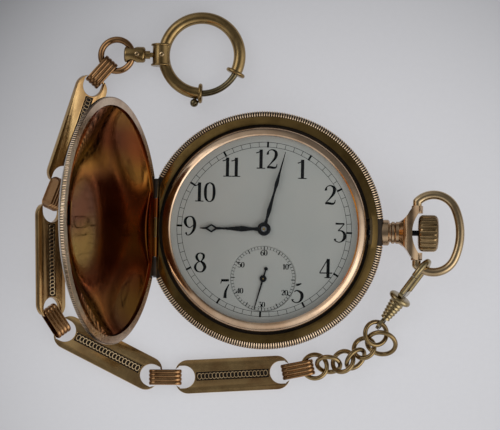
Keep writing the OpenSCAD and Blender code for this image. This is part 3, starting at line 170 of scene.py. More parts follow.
class NodeSheet(NodeTree):
    """One material's node tree, with its shader and its object coordinates."""

    def __init__(self, name: str, **sockets: float) -> None:
        """Makes the material and sets its shader.

        Args:
            name: Name of the material.
            sockets: The shader's values by socket, with an underscore in place of a blank.
        """
        self.material = bpy.data.materials.new(name)
        self.material.use_nodes = True
        super().__init__(self.material.node_tree)
        self.shader = self.tree.nodes["Principled BSDF"]
        self.coords = self.node("TexCoord", {}).outputs["Object"]
        for socket, value in sockets.items():
            self.plug(self.shader.inputs[socket.replace("_", " ")], value)

    def feed(self, name: str, socket: Socket) -> None:
        """Links a value to one of the shader's sockets."""
        self.plug(self.shader.inputs[name], socket)

    def noise(self, cells: float, detail: float = 4.0, rough: float = 0.55,
              stretch: Place = (1.0, 1.0, 1.0)) -> Socket:
        """Adds a noise texture in object coordinates.

        Args:
            cells: Number of cells in a metre.
            detail: Octaves of finer noise.
            rough: Strength of the finer octaves.
            stretch: Scale of each axis.

        Returns:
            The noise value's socket.
        """
        mapping = self.node("Mapping", {"Vector": self.coords, "Scale": stretch})
        inputs = {"Vector": mapping.outputs["Vector"], "Scale": cells, "Detail": detail, "Roughness": rough}
        return self.node("TexNoise", inputs).outputs["Fac"]

    def wave(self, scale: float, axis: str = "Z", rings: bool = False, distortion: float = 0.0) -> Socket:
        """Adds a wave texture in object coordinates.

        Args:
            scale: Fineness of the waves.
            axis: Direction of the waves.
            rings: Rings in place of bands.
            distortion: How far the waves are bent.

        Returns:
            The wave value's socket.
        """
        kind = "rings" if rings else "bands"
        inputs = {"Vector": self.coords, "Scale": scale, "Distortion": distortion}
        settings = {"wave_type": kind.upper(), kind + "_direction": axis}
        return self.node("TexWave", inputs, **settings).outputs["Fac"]

    def ramp(self, value: Socket, low: float, high: float, first: Color, last: Color) -> Socket:
        """Maps a value between two positions to two colours.

        Args:
            value: Socket with the value.
            low: Value that gives the first colour.
            high: Value that gives the last colour.
            first: First colour.
            last: Last colour.

        Returns:
            The colour's socket.
        """
        node = self.node("ValToRGB", {"Fac": value})
        for end, position, color in zip(node.color_ramp.elements, (low, high), (first, last)):
            end.position, end.color = position, (*color, 1.0)
        return node.outputs["Color"]

    def mix(self, share: Socket | float, first: Socket | Color, last: Socket | Color) -> Socket:
        """Mixes two colours by a share and returns the result's socket."""
        return self.node("Mix", {0: share, 6: first, 7: last}, data_type="RGBA").outputs[2]

    def bump(self, height: Socket, depth_mm: float, strength: float = 1.0) -> None:
        """Bumps the surface by a height value, over what bumps it already.

        Args:
            height: Socket with the height, 0 to 1.
            depth_mm: What a height of 1 stands for.
            strength: Strength of the bump.
        """
        normal = self.shader.inputs["Normal"]
        inputs = {"Distance": depth_mm * MM, "Strength": strength, "Height": height}
        if normal.is_linked:
            inputs["Normal"] = normal.links[0].from_socket
        self.plug(normal, self.node("Bump", inputs).outputs["Normal"])


@dataclass(frozen=True)
class WornMetal:
    """Polished or satin metal with tarnish in patches, fine scratches and grime."""

    name: str
    slot: Slot
    bright: Screen
    tarnish: Screen
    rough: tuple[float, float] = (0.14, 0.26)
    patch: float = 120.0
    cover: tuple[float, float] = (0.42, 0.72)
    scratch: float = 0.0004
    dent_times: float = 6.0
    relief: float = 0.6
    scratch_cells: float = 5200.0
    grime: float = 0.16
    speck_cells: float = 1500.0
    speck_span: Point = (0.56, 0.74)
    speck_shade: float = 0.45
    metallic: float = 1.0

    def make(self) -> bpy.types.Material:
        """Builds the material.

        Returns:
            The material with its nodes.
        """
        sheet = NodeSheet(self.name, Metallic=self.metallic)
        tarnish = linear(*self.tarnish)
        patches = sheet.noise(self.patch, detail=5.0, rough=0.62)
        base = sheet.ramp(patches, *self.cover, linear(*self.bright), tarnish)
        specks = sheet.noise(self.speck_cells, detail=3.0, rough=0.6)
        share = sheet.spread(specks, *self.speck_span, 0.0, self.grime)
        sheet.feed("Base Color", sheet.mix(share, base, tuple(part * self.speck_shade for part in tarnish)))
        wear = sheet.noise(WEAR_CELLS, detail=4.0, rough=0.65, stretch=(1.0, 1.0, 2.5))
        sheet.feed("Roughness", sheet.spread(wear, *WEAR_SPAN, *self.rough))
        dents = sheet.noise(DENT_CELLS, detail=3.0, rough=0.5)
        sheet.bump(dents, self.scratch * self.dent_times, self.relief)
        scratches = sheet.noise(self.scratch_cells, detail=2.0, rough=0.6, stretch=(0.25, 1.0, 1.0))
        sheet.bump(scratches, self.scratch, self.relief)
        return sheet.material


@dataclass(frozen=True)
class StainedGilt:
    """Gilding of the open cover's inside, stained in warm streaks, with painted shade that darkens it low
    down, by height in metres.
    """

    name: str = "cover_inside"
    slot: Slot = Slot.INNER_GOLD
    clear: Color = linear(250, 194, 84)
    stained: Color = linear(176, 98, 46)
    dark: Color = linear(104, 50, 24)
    rough: Point = (0.04, 0.12)
    folds: float = 22.0
    fold_bend: float = 9.0
    streak_cells: float = 60.0
    stain_span: Point = (0.04, 0.62)
    dark_z: tuple[float, float] = (0.040, 0.024)
    dark_share: float = 0.8
    wander: float = 0.012

    def make(self) -> bpy.types.Material:
        """Builds the material.

        Returns:
            The material with its nodes.
        """
        sheet = NodeSheet(self.name, Metallic=1.0)
        folds = sheet.wave(self.folds, axis="Y", distortion=self.fold_bend)
        streaks = sheet.math("MULTIPLY", folds, sheet.noise(self.streak_cells, detail=2.0))
        base = sheet.ramp(streaks, *self.stain_span, self.stained, self.clear)
        # Painted shade: darker low on the open cover, by height with a wavy edge, standing in for its dark
        # reflection
        split = sheet.node("SeparateXYZ", {0: sheet.coords})
        uneven = sheet.noise(cells=90.0, detail=2.0, rough=0.5, stretch=(1.0, 0.5, 1.6))
        wavy = sheet.math("SUBTRACT", sheet.math("MULTIPLY", uneven, self.wander), self.wander / 2)
        height = sheet.math("ADD", split.outputs["Z"], wavy)
        painted_shade_mask = sheet.spread(height, *self.dark_z, 0.0, self.dark_share)
        sheet.feed("Base Color", sheet.mix(painted_shade_mask, base, self.dark))
        sheet.feed("Roughness", sheet.spread(sheet.noise(WEAR_CELLS), *WEAR_SPAN, *self.rough))
        sheet.bump(sheet.noise(DENT_CELLS, detail=3.0, rough=0.5), depth_mm=0.004, strength=0.5)
        return sheet.material


@dataclass(frozen=True)
class StripedNickel:
    """Nickel plate with the wavy striping of a good movement."""

    name: str = "striped_nickel"
    slot: Slot = Slot.NICKEL
    light: Color = linear(222, 219, 210)
    shade: Color = linear(196, 192, 182)
    stripes: float = 180.0
    rings: float = 260.0
    rough: Point = (0.18, 0.42)

    def make(self) -> bpy.types.Material:
        """Builds the material.

        Returns:
            The material with its nodes.
        """
        sheet = NodeSheet(self.name, Metallic=1.0)
        stripes = sheet.wave(self.stripes, axis="DIAGONAL", distortion=1.5)
        rings = sheet.wave(self.rings, rings=True, distortion=0.6)
        both = sheet.math("MULTIPLY", stripes, rings)
        sheet.feed("Base Color", sheet.ramp(both, low=0.1, high=0.8, first=self.shade, last=self.light))
        sheet.feed("Roughness", sheet.spread(both, 0.0, 1.0, *self.rough))
        sheet.bump(both, depth_mm=0.004, strength=0.5)
        sheet.bump(sheet.noise(cells=3000.0), depth_mm=0.002, strength=0.5)
        return sheet.material


@dataclass(frozen=True)
class Enamel:
    """Glossy dial enamel, a little mottled under the glaze."""

    name: str = "dial_enamel"
    slot: Slot = Slot.ENAMEL
    light: Color = linear(187, 189, 184)
    shade: Color = linear(180, 184, 180)

    def make(self) -> bpy.types.Material:
        """Builds the material.

        Returns:
            The material with its nodes.
        """
        sheet = NodeSheet(self.name, Coat_Weight=0.5, Coat_Roughness=0.04, Roughness=0.32)
        mottling = sheet.noise(cells=90.0, detail=3.0)
        sheet.feed("Base Color", sheet.ramp(mottling, low=0.35, high=0.7, first=self.light, last=self.shade))
        sheet.bump(sheet.noise(cells=260.0, detail=2.0, rough=0.4), depth_mm=0.006, strength=0.3)
        return sheet.material


@dataclass(frozen=True)
class Ink:
    """Fired black print of the dial, slightly uneven."""

    name: str
    slot: Slot = Slot.ENAMEL
    color: Color = linear(3, 3, 5)
    faded: Color = linear(10, 10, 12)

    def make(self) -> bpy.types.Material:
        """Builds the material.

        Returns:
            The material with its nodes.
        """
        sheet = NodeSheet(self.name, Roughness=0.6, Specular_IOR_Level=0.05)
        uneven = sheet.noise(WEAR_CELLS, detail=3.0)
        sheet.feed("Base Color", sheet.ramp(uneven, low=0.45, high=0.75, first=self.color, last=self.faded))
        sheet.bump(sheet.noise(cells=4000.0, detail=2.0), depth_mm=0.002, strength=0.3)
        return sheet.material


@dataclass(frozen=True)
class Crystal:
    """Thin clear mineral glass: nearly invisible face on, with a painted pale sheen towards its edge."""

    name: str = "mineral_glass"
    slot: Slot = Slot.GLASS
    tint: Color = linear(205, 214, 212)
    clear: Color = linear(216, 222, 222)
    veil: Point = (0.01, 0.15)
    veil_bend: float = 0.28

    def make(self) -> bpy.types.Material:
        """Builds the material.

        Returns:
            The material with its nodes.
        """
        sheet = NodeSheet(self.name, Roughness=0.03, Specular_IOR_Level=0.6)
        cloud = sheet.noise(cells=60.0)
        sheet.feed("Base Color", sheet.ramp(cloud, low=0.3, high=0.7, first=self.tint, last=self.clear))
        # Painted sheen: the pale glass turns more opaque towards its edge
        facing = sheet.node("LayerWeight", {"Blend": self.veil_bend})
        sheet.feed("Alpha", sheet.spread(facing.outputs["Facing"], 0.0, 1.0, *self.veil))
        sheet.bump(sheet.noise(cells=300.0, detail=2.0), depth_mm=0.001, strength=0.2)
        return sheet.material


@dataclass(frozen=True)
class Ruby:
    """Polished synthetic ruby."""

    name: str = "ruby"
    slot: Slot = Slot.RUBY
    deep: Color = (0.45, 0.02, 0.06)
    light: Color = (0.62, 0.05, 0.12)

    def make(self) -> bpy.types.Material:
        """Builds the material.

        Returns:
            The material with its nodes.
        """
        sheet = NodeSheet(self.name, Roughness=0.08, Coat_Weight=0.6)
        cloud = sheet.noise(cells=1500.0)
        sheet.feed("Base Color", sheet.ramp(cloud, low=0.3, high=0.7, first=self.deep, last=self.light))
        sheet.bump(sheet.noise(cells=2500.0), depth_mm=0.001, strength=0.2)
        return sheet.material


class Finishes(Enum):
    """Every finish of the watch by the name of what it covers; a metal's colours are as on a screen."""

    CASE = WornMetal("case_gold", Slot.GOLD, (168, 146, 112), (128, 104, 74), cover=(0.36, 0.75))
    SHOULDER = WornMetal("shoulder_gold", Slot.GOLD, (138, 112, 66), (92, 70, 38), (0.1, 0.2))
    # Painted shade: the dark finish of the case's groove, of the band face under the reeding and of the
    # valleys between the ridges
    GROOVE = WornMetal("groove_painted_shade", Slot.GOLD, (46, 34, 22), (20, 14, 8), (0.5, 0.7), metallic=0.4)
    REEDING = WornMetal("reeded_gold", Slot.ROSE_GOLD, (240, 212, 178), (206, 172, 136), (0.2, 0.34))
    BEZEL = WornMetal("bezel_rose_gold", Slot.ROSE_GOLD, (208, 180, 152), (176, 142, 112), (0.12, 0.24))
    RIM = WornMetal("rim_rose_gold", Slot.ROSE_GOLD, (220, 196, 170), (176, 146, 118), (0.14, 0.28))
    INSIDE = StainedGilt()
    PENDANT = WornMetal("pendant_rose_gold", Slot.ROSE_GOLD, (190, 162, 130), (140, 110, 82), (0.12, 0.24))
    CROWN = WornMetal("crown_gold", Slot.GOLD, (166, 140, 102), (96, 74, 46), (0.14, 0.28))
    BOW = WornMetal("bow_gold", Slot.GOLD, (188, 164, 128), (140, 116, 84), (0.12, 0.24))
    CLIP = WornMetal("clip_gold", Slot.CHAIN_GOLD, (164, 146, 108), (104, 88, 56), (0.14, 0.28))
    LINK = WornMetal("link_gold", Slot.CHAIN_GOLD, (160, 122, 84), (100, 68, 42), (0.14, 0.3))
    RING = WornMetal("ring_gold", Slot.CHAIN_GOLD, (156, 132, 92), (100, 80, 50), (0.14, 0.3))
    PANEL = WornMetal("panel_gold", Slot.CHAIN_GOLD, (192, 160, 110), (150, 112, 72), (0.16, 0.26),
                      patch=110.0, scratch=0.0002, grime=0.1)
    STRAND = WornMetal("strand_gold", Slot.CHAIN_GOLD, (214, 188, 148), (120, 92, 62), (0.12, 0.24))
    # Painted shade: the dark floor of a panel's channel, seen between the woven loops
    CREVICE = WornMetal("crevice_painted_shade", Slot.CHAIN_GOLD, (48, 36, 24), (20, 14, 9), (0.45, 0.7),
                        metallic=0.4)
    OLIVE = WornMetal("bolt_ring_gold", Slot.CHAIN_GOLD, (158, 132, 88), (112, 88, 54), (0.14, 0.28))
    BOLT = WornMetal("bolt_gold", Slot.CHAIN_GOLD, (112, 100, 74), (72, 62, 44), (0.16, 0.3))
    STEEL = WornMetal("polished_steel", Slot.STEEL, (196, 198, 202), (160, 160, 160), (0.14, 0.3))
    BLUED = WornMetal("blued_steel", Slot.BLUED_STEEL, (20, 22, 28), (12, 13, 17), (0.2, 0.34),
                      metallic=0.85)
    BRASS = WornMetal("wheel_brass", Slot.BRASS, (222, 190, 116), (186, 148, 80), (0.2, 0.36))
    NICKEL = StripedNickel()
    DIAL = Enamel()
    PRINT = Ink("dial_print")
    GLASS = Crystal()
    JEWEL = Ruby()


class Paint:
    """Hands out each finish's material, made once."""

    made: dict[str, bpy.types.Material] = {}

    @classmethod
    def material(cls, finish: Finishes) -> bpy.types.Material:
        """Gives the material of a finish.

        Args:
            finish: The finish.

        Returns:
            Its material.
        """
        if finish.name not in cls.made:
            cls.made[finish.name] = finish.value.make()
        return cls.made[finish.name]

    @classmethod
    def coat(cls, piece: bpy.types.Object, *finishes: Finishes) -> None:
        """Gives a piece its finishes, one material each.

        Args:
            piece: The piece.
            finishes: Its finishes.
        """
        piece.data.materials.clear()
        for finish in finishes:
            piece.data.materials.append(cls.material(finish))


# Mesh building


def place(name: str, data: bpy.types.ID) -> bpy.types.Object:
    """Makes an object of that data and puts it into the scene.

    Args:
        name: Name of the object.
        data: Its mesh, lamp or camera.

    Returns:
        The object.
    """
    item = bpy.data.objects.new(name, data)
    bpy.context.scene.collection.objects.link(item)
    return item


@dataclass
class Draft:
    """Vertices and faces of one piece, in millimetres, and the faces that take a second finish."""

    points: list[Vector] = field(default_factory=list)
    faces: list[tuple[int, ...]] = field(default_factory=list)
    second: set[int] = field(default_factory=set)

    def grid(self, rows: Sequence[Sequence[Vector]], close_rows: bool = False,
             close_columns: bool = False) -> "Draft":
        """Adds a sheet of quads through rows of points.

        Args:
            rows: Rows of equally many points.
            close_rows: Joins the last row to the first.
            close_columns: Joins each row's last point to its first.

        Returns:
            The draft.
        """
        start, wide, high = len(self.points), len(rows[0]), len(rows)
        for row in rows:
            self.points.extend(Vector(point) for point in row)
        for i in range(high if close_rows else high - 1):
            for j in range(wide if close_columns else wide - 1):
                a, b = start + i * wide, start + ((i + 1) % high) * wide
                k = (j + 1) % wide
                self.faces.append((a + j, a + k, b + k, b + j))
        return self

    def lid(self, ring: Sequence[Vector], flip: bool = False) -> "Draft":
        """Adds one face through a ring of points.

        Args:
            ring: The points in order.
            flip: Turns the face round.

        Returns:
            The draft.
        """
        start = len(self.points)
        self.points.extend(Vector(point) for point in ring)
        order = range(start, start + len(ring))
        self.faces.append(tuple(reversed(order)) if flip else tuple(order))
        return self

    def lathe(self, profile: Sequence[Point], steps: int, at: Place) -> "Draft":
        """Turns a closed profile of radius and height about an upright axis.

        Args:
            profile: Points of radius and height, in order round the section.
            steps: Steps of the turn.
            at: Place on the axis that the profile's heights start from.

        Returns:
            The draft.
        """
        rows = []
        for i in range(steps):
            x, y = polar(1.0, 360 * i / steps)
            rows.append([Vector((at[0] + x * r, at[1] + y * r, at[2] + z)) for r, z in profile])
        return self.grid(rows, close_rows=True, close_columns=True)

    def ribbon(self, path: Stroke, low: float, high: float) -> "Draft":
        """Adds a flat raised stroke of varying width.

        Args:
            path: Points of x, y and full width.
            low: Height of the stroke's lower face.
            high: Height of its upper face.

        Returns:
            The draft.
        """
        rows = []
        for i, (x, y, width) in enumerate(path):
            x0, y0, _ = path[max(i - 1, 0)]
            x1, y1, _ = path[min(i + 1, len(path) - 1)]
            along = Vector((x1 - x0, y1 - y0, 0.0)).normalized()
            side = Vector((-along.y, along.x, 0.0)) * width / 2
            at = Vector((x, y, 0.0))
            rows.append([at + side + Vector((0, 0, low)), at - side + Vector((0, 0, low)),
                         at - side + Vector((0, 0, high)), at + side + Vector((0, 0, high))])
        self.grid(rows, close_columns=True)
        return self.lid(rows[0]).lid(rows[-1], flip=True)

    def turned(self, matrix: Matrix) -> "Draft":
        """Moves every point by a matrix in millimetres."""
        self.points = [matrix @ point for point in self.points]
        return self

    def build(self, name: str, body: str, finish: Finishes, smooth: float | None = 35.0,
              other: Finishes | None = None) -> bpy.types.Object:
        """Makes the piece, dresses it and lets it ride its body.

        Args:
            name: Name of the piece.
            body: Body that carries it.
            finish: Its finish.
            smooth: Largest angle in degrees that is shaded smooth, or None for flat faces.
            other: Finish of the faces marked as second.

        Returns:
            The new object.
        """
        mesh = bpy.data.meshes.new(name)
        mesh.from_pydata([point * MM for point in self.points], [], self.faces)
        for index in self.second:
            mesh.polygons[index].material_index = 1
        mesh.validate()
        piece = place(name, mesh)
        tidy_mesh(mesh)
        if smooth is not None:
            mesh.shade_smooth()
            mesh.set_sharp_from_angle(angle=math.radians(smooth))
        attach(piece, body)
        chosen = [face.material_index for face in mesh.polygons]
        Paint.coat(piece, *([finish, other] if other else [finish]))
        mesh.polygons.foreach_set("material_index", chosen)
        LOG.info("%s rides %s, %d faces", name, body, len(mesh.polygons))
        return piece


def tidy_mesh(mesh: bpy.types.Mesh) -> None:
    """Joins doubled points and turns all faces outward.

    Args:
        mesh: The mesh to mend.
    """
    sheet = bmesh.new()
    sheet.from_mesh(mesh)
    bmesh.ops.remove_doubles(sheet, verts=sheet.verts, dist=JOIN_MM * MM)
    bmesh.ops.recalc_face_normals(sheet, faces=sheet.faces)
    sheet.to_mesh(mesh)
    sheet.free()


def arc(center: Point, radius: float, first: float, last: float, steps: int) -> list[Point]:
    """Points of an arc in a profile."""
    ways = [polar(radius, first + (last - first) * i / steps) for i in range(steps + 1)]
    return [(center[0] + x, center[1] + y) for x, y in ways]


def smooth_path(path: Stroke, steps: int) -> Stroke:
    """Runs a smooth curve through points of x, y and width.

    Args:
        path: The points.
        steps: New points for each stretch.

    Returns:
        The finer list of points.
    """
    last = len(path) - 1
    fine: Stroke = []
    for i in range(last):
        near = [path[min(max(i + k, 0), last)] for k in (-1, 0, 1, 2)]
        for s in range(steps):
            t = s / steps
            fine.append(tuple(0.5 * (2 * b + (c - a) * t + (2 * a - 5 * b + 4 * c - d) * t * t
                                     + (3 * b - a - 3 * c + d) * t ** 3) for a, b, c, d in zip(*near)))
    return fine + [tuple(path[-1])]


def node_axes(name: str) -> Matrix:
    """Frame of a sub-part from its own spread: X along it, Y across it and Z up.

    Args:
        name: Name of the node.

    Returns:
        The frame in millimetres.
    """
    mesh = frame["nodes"][name].data
    spots = np.unique(np.array([tuple(v.co) for v in mesh.vertices]).round(7), axis=0) / MM
    center = (spots.max(0) + spots.min(0)) / 2
    axes = np.linalg.svd(spots - spots.mean(0), full_matrices=False)[2]
    along, across = Vector(axes[0]), Vector(axes[1])
    up = along.cross(across)
    if up.z < 0:
        across, up = -across, -up
    local = (spots - center) @ np.array([along, across, up]).T
    shift = (local.max(0) + local.min(0)) / 2
    middle = Vector(center) + along * shift[0] + across * shift[1] + up * shift[2]
    turn = Matrix((along, across, up)).transposed().to_4x4()
    return Matrix.Translation(middle) @ turn


def joint(name: str) -> dict:
    """The record's joint of that name."""
    return next(item for item in frame["joints"] if item["name"] == name)


def hinge_turn(name: str, degrees: float) -> Matrix:
    """Matrix in millimetres that turns about a joint's axis by an angle.

    Args:
        name: Name of the joint.
        degrees: The angle.

    Returns:
        The matrix.
    """
    item = joint(name)
    at = Vector(item["pos_m"]) / MM
    turn = Matrix.Rotation(math.radians(degrees), 4, Vector(item["axis"]))
    return Matrix.Translation(at) @ turn @ Matrix.Translation(-at)


# Sub-assemblies


@dataclass
class Nodes:
    """Gives the sub-parts that keep their own shape a finish and smooth shading."""

    worn_by: dict[Finishes, str] = field(default_factory=lambda: {
        Finishes.CASE: "case_center front_cover back_cover dust_cover",
        Finishes.BEZEL: "bezel",
        Finishes.GLASS: "crystal",
        Finishes.PENDANT: "pendant",
        Finishes.BOW: "bow",
        Finishes.CROWN: "crown",
        Finishes.DIAL: "dial",
        Finishes.JEWEL: "jewels",
        Finishes.STEEL: "hinge_pins stem_sleeve stem_clip cannon_pinion ratchet_wheel crown_wheel click "
                        "escape_wheel pallet_fork",
        Finishes.BLUED: "winding_stem lock_spring hour_hand minute_hand seconds_hand hairspring "
                        "bridge_screws",
        Finishes.BRASS: "hour_wheel minute_wheel mainspring_barrel center_wheel third_wheel fourth_wheel "
                        "balance_wheel",
        Finishes.NICKEL: "main_plate train_bridge balance_cock",
        Finishes.CLIP: "swivel_base swivel_hook swivel_gate",
        Finishes.PANEL: "panel",
        Finishes.RING: "ring",
        Finishes.LINK: "band end_ring",
        Finishes.OLIVE: "bolt_swivel bolt_ring",
        Finishes.BOLT: "bolt"})
    smooth: float = 32.0
    weld: float = 0.0005
    panel_round: float = 0.3
    round_steps: int = 3
    round_from: float = 50.0
    flat_within: float = 1.0
    # Where the case's polished shoulder, groove and band face begin, as radii and heights
    band_face_r: float = 24.36
    shoulder_r: float = 22.65
    shoulder_z: float = 9.6
    groove_r: float = 22.7
    groove_z: float = 9.0
    # Where the front cover's inside and rim begin, with the cover shut
    inside_r: float = 23.95
    inside_z: float = 14.8
    inside_way: float = 0.5
    rim_z: float = 10.2

    def dress(self) -> None:
        """Dresses every sub-part; a numbered one takes the finish of its kind."""
        finish_of = {name: finish for finish, names in self.worn_by.items() for name in names.split()}
        for name, piece in frame["nodes"].items():
            Paint.coat(piece, finish_of.get(name) or finish_of[name.split("_")[0]])
            self.soften(piece)
        self.part_case()
        self.part_cover()
        LOG.info("%d sub-parts dressed", len(frame["nodes"]))

    def soften(self, piece: bpy.types.Object) -> None:
        """Welds and smooths a sub-part, and rounds the edges of a panel.

        Args:
            piece: The sub-part.
        """
        piece.data.shade_smooth()
        weld = piece.modifiers.new("weld", "WELD")
        weld.merge_threshold = self.weld * MM
        if piece.name.startswith("panel"):
            flat = piece.modifiers.new("flat", "DECIMATE")
            flat.decimate_type = "DISSOLVE"
            flat.angle_limit = math.radians(self.flat_within)
            bevel = piece.modifiers.new("round", "BEVEL")
            bevel.width, bevel.segments = self.panel_round * MM, self.round_steps
            bevel.limit_method, bevel.angle_limit = "ANGLE", math.radians(self.round_from)
            bevel.harden_normals = True
        by_angle = piece.modifiers.new("edges", "EDGE_SPLIT")
        by_angle.split_angle = math.radians(self.smooth)

    def part_case(self) -> None:
        """Gives the case's polished shoulder its own finish, and its groove and the band face under the
        reeding the painted shade of the groove finish.
        """
        piece = frame["nodes"]["case_center"]
        Paint.coat(piece, Finishes.CASE, Finishes.SHOULDER, Finishes.GROOVE)
        # Index 2 is painted shade: on the band face, so the gaps between the ridges look dark, and in the
        # groove inside the shoulder
        for face in piece.data.polygons:
            radius, height = face.center.xy.length / MM, face.center.z / MM
            if radius > self.band_face_r:
                face.material_index = 2
            elif height > self.shoulder_z and radius > self.shoulder_r:
                face.material_index = 1
            elif radius < self.groove_r and height > self.groove_z:
                face.material_index = 2

    def part_cover(self) -> None:
        """Gives the front cover's inside and rim their own finishes."""
        piece = frame["nodes"]["front_cover"]
        Paint.coat(piece, Finishes.CASE, Finishes.INSIDE, Finishes.RIM)
        back = hinge_turn("front_cover_hinge", joint("front_cover_hinge")["range_deg"][1])
        for face in piece.data.polygons:
            shut = back @ (face.center / MM)
            way = back.to_3x3() @ face.normal
            if shut.xy.length < self.inside_r and shut.z < self.inside_z and way.z < self.inside_way:
                face.material_index = 1
            elif shut.z < self.rim_z:
                face.material_index = 2


@dataclass
class ReededEdges:
    """Coin edges of the case band and of both covers.

    A ridge's steps are shares of its pitch and of its depth; the faces after the crest's steps keep the
    ridge's finish and the others take the groove finish, painted shade that darkens the valleys. The band is
    its radius, lower and upper face and corner, and its arcs are their angles and steps.
    """

    ridges: int = 300
    depth: float = 0.2
    steps: tuple[Point, ...] = ((0.0, -0.03), (0.1, 0.8), (0.3, 1.0), (0.5, 0.8), (0.6, -0.03))
    crest: tuple[int, ...] = (1, 2)
    sunk: float = 0.05
    band: tuple[float, ...] = (25.5, 3.3, 9.75, 1.1)
    band_arcs: tuple[tuple[float, float, int], ...] = ((-62.0, 0.0, 5), (0.0, 88.0, 8))
    cover_r: float = 25.4
    front_edge: Point = (10.02, 10.7)
    back_edge: Point = (2.5, 3.2)
    cover_sweep: float = 154.0
    hinge_gap: float = 25.6
    pendant_gap: float = 6.4

    def ring(self, profile: Sequence[Point], first: float, last: float) -> Draft:
        """Ridges along a profile, from one angle to another.

        Args:
            profile: Outer surface as radius and height, from its lower end up.
            first: Start angle.
            last: End angle.

        Returns:
            The draft of the ridged strip.
        """
        count = max(2, int(round((last - first) / 360 * self.ridges)))
        ways = []
        for i in range(len(profile)):
            before, after = profile[max(i - 1, 0)], profile[min(i + 1, len(profile) - 1)]
            ways.append(Vector((after[1] - before[1], before[0] - after[0])).normalized())
        skin = list(zip(profile, ways))
        rows = []
        for ridge, high in [(k + share, high) for k in range(count) for share, high in self.steps]:
            x, y = polar(1.0, first + (last - first) * ridge / count)
            lift = self.depth * high if high > 0 else high
            section = [(r + way.x * lift, z + way.y * lift) for (r, z), way in skin]
            section += [(r - way.x * self.sunk, z - way.y * self.sunk) for (r, z), way in reversed(skin)]
            rows.append([Vector((radius * x, radius * y, height)) for radius, height in section])
        draft = Draft().grid(rows, close_columns=True)
        wide = len(rows[0])
        # Faces off the crest take the second finish: painted shade in the valleys
        draft.second = {i for i in range(len(draft.faces)) if i // wide % len(self.steps) not in self.crest}
        return draft.lid(rows[0]).lid(rows[-1], flip=True)

    def cover_ring(self, edge: Point) -> Draft:
        """Ridges round a cover's edge between two heights.

        Args:
            edge: Lower and upper height of the edge.

        Returns:
            The draft of the ridged strip.
        """
        low, high = edge
        profile = [(self.cover_r, low), (self.cover_r, (low + high) / 2), (self.cover_r, high)]
        return self.ring(profile, -self.cover_sweep, self.cover_sweep)

    def make(self) -> None:
        """Builds the coin edges of the band and of both covers."""
        radius, low, high, corner = self.band
        lower, upper = self.band_arcs
        side = (arc((radius - corner, low + corner), corner, *lower)
                + arc((radius - corner, high - corner), corner, *upper))
        opened = hinge_turn("front_cover_hinge", -joint("front_cover_hinge")["range_deg"][1])
        for name, body, finish, draft in (
                ("band_reeding_upper", "case", Finishes.REEDING,
                 self.ring(side, self.pendant_gap, 180 - self.hinge_gap)),
                ("band_reeding_lower", "case", Finishes.REEDING,
                 self.ring(side, 180 + self.hinge_gap, 360 - self.pendant_gap)),
                ("cover_reeding", "front_cover", Finishes.RIM,
                 self.cover_ring(self.front_edge).turned(opened)),
                ("back_cover_reeding", "back_cover", Finishes.REEDING, self.cover_ring(self.back_edge))):
            draft.build(name, body, finish, smooth=None, other=Finishes.GROOVE)


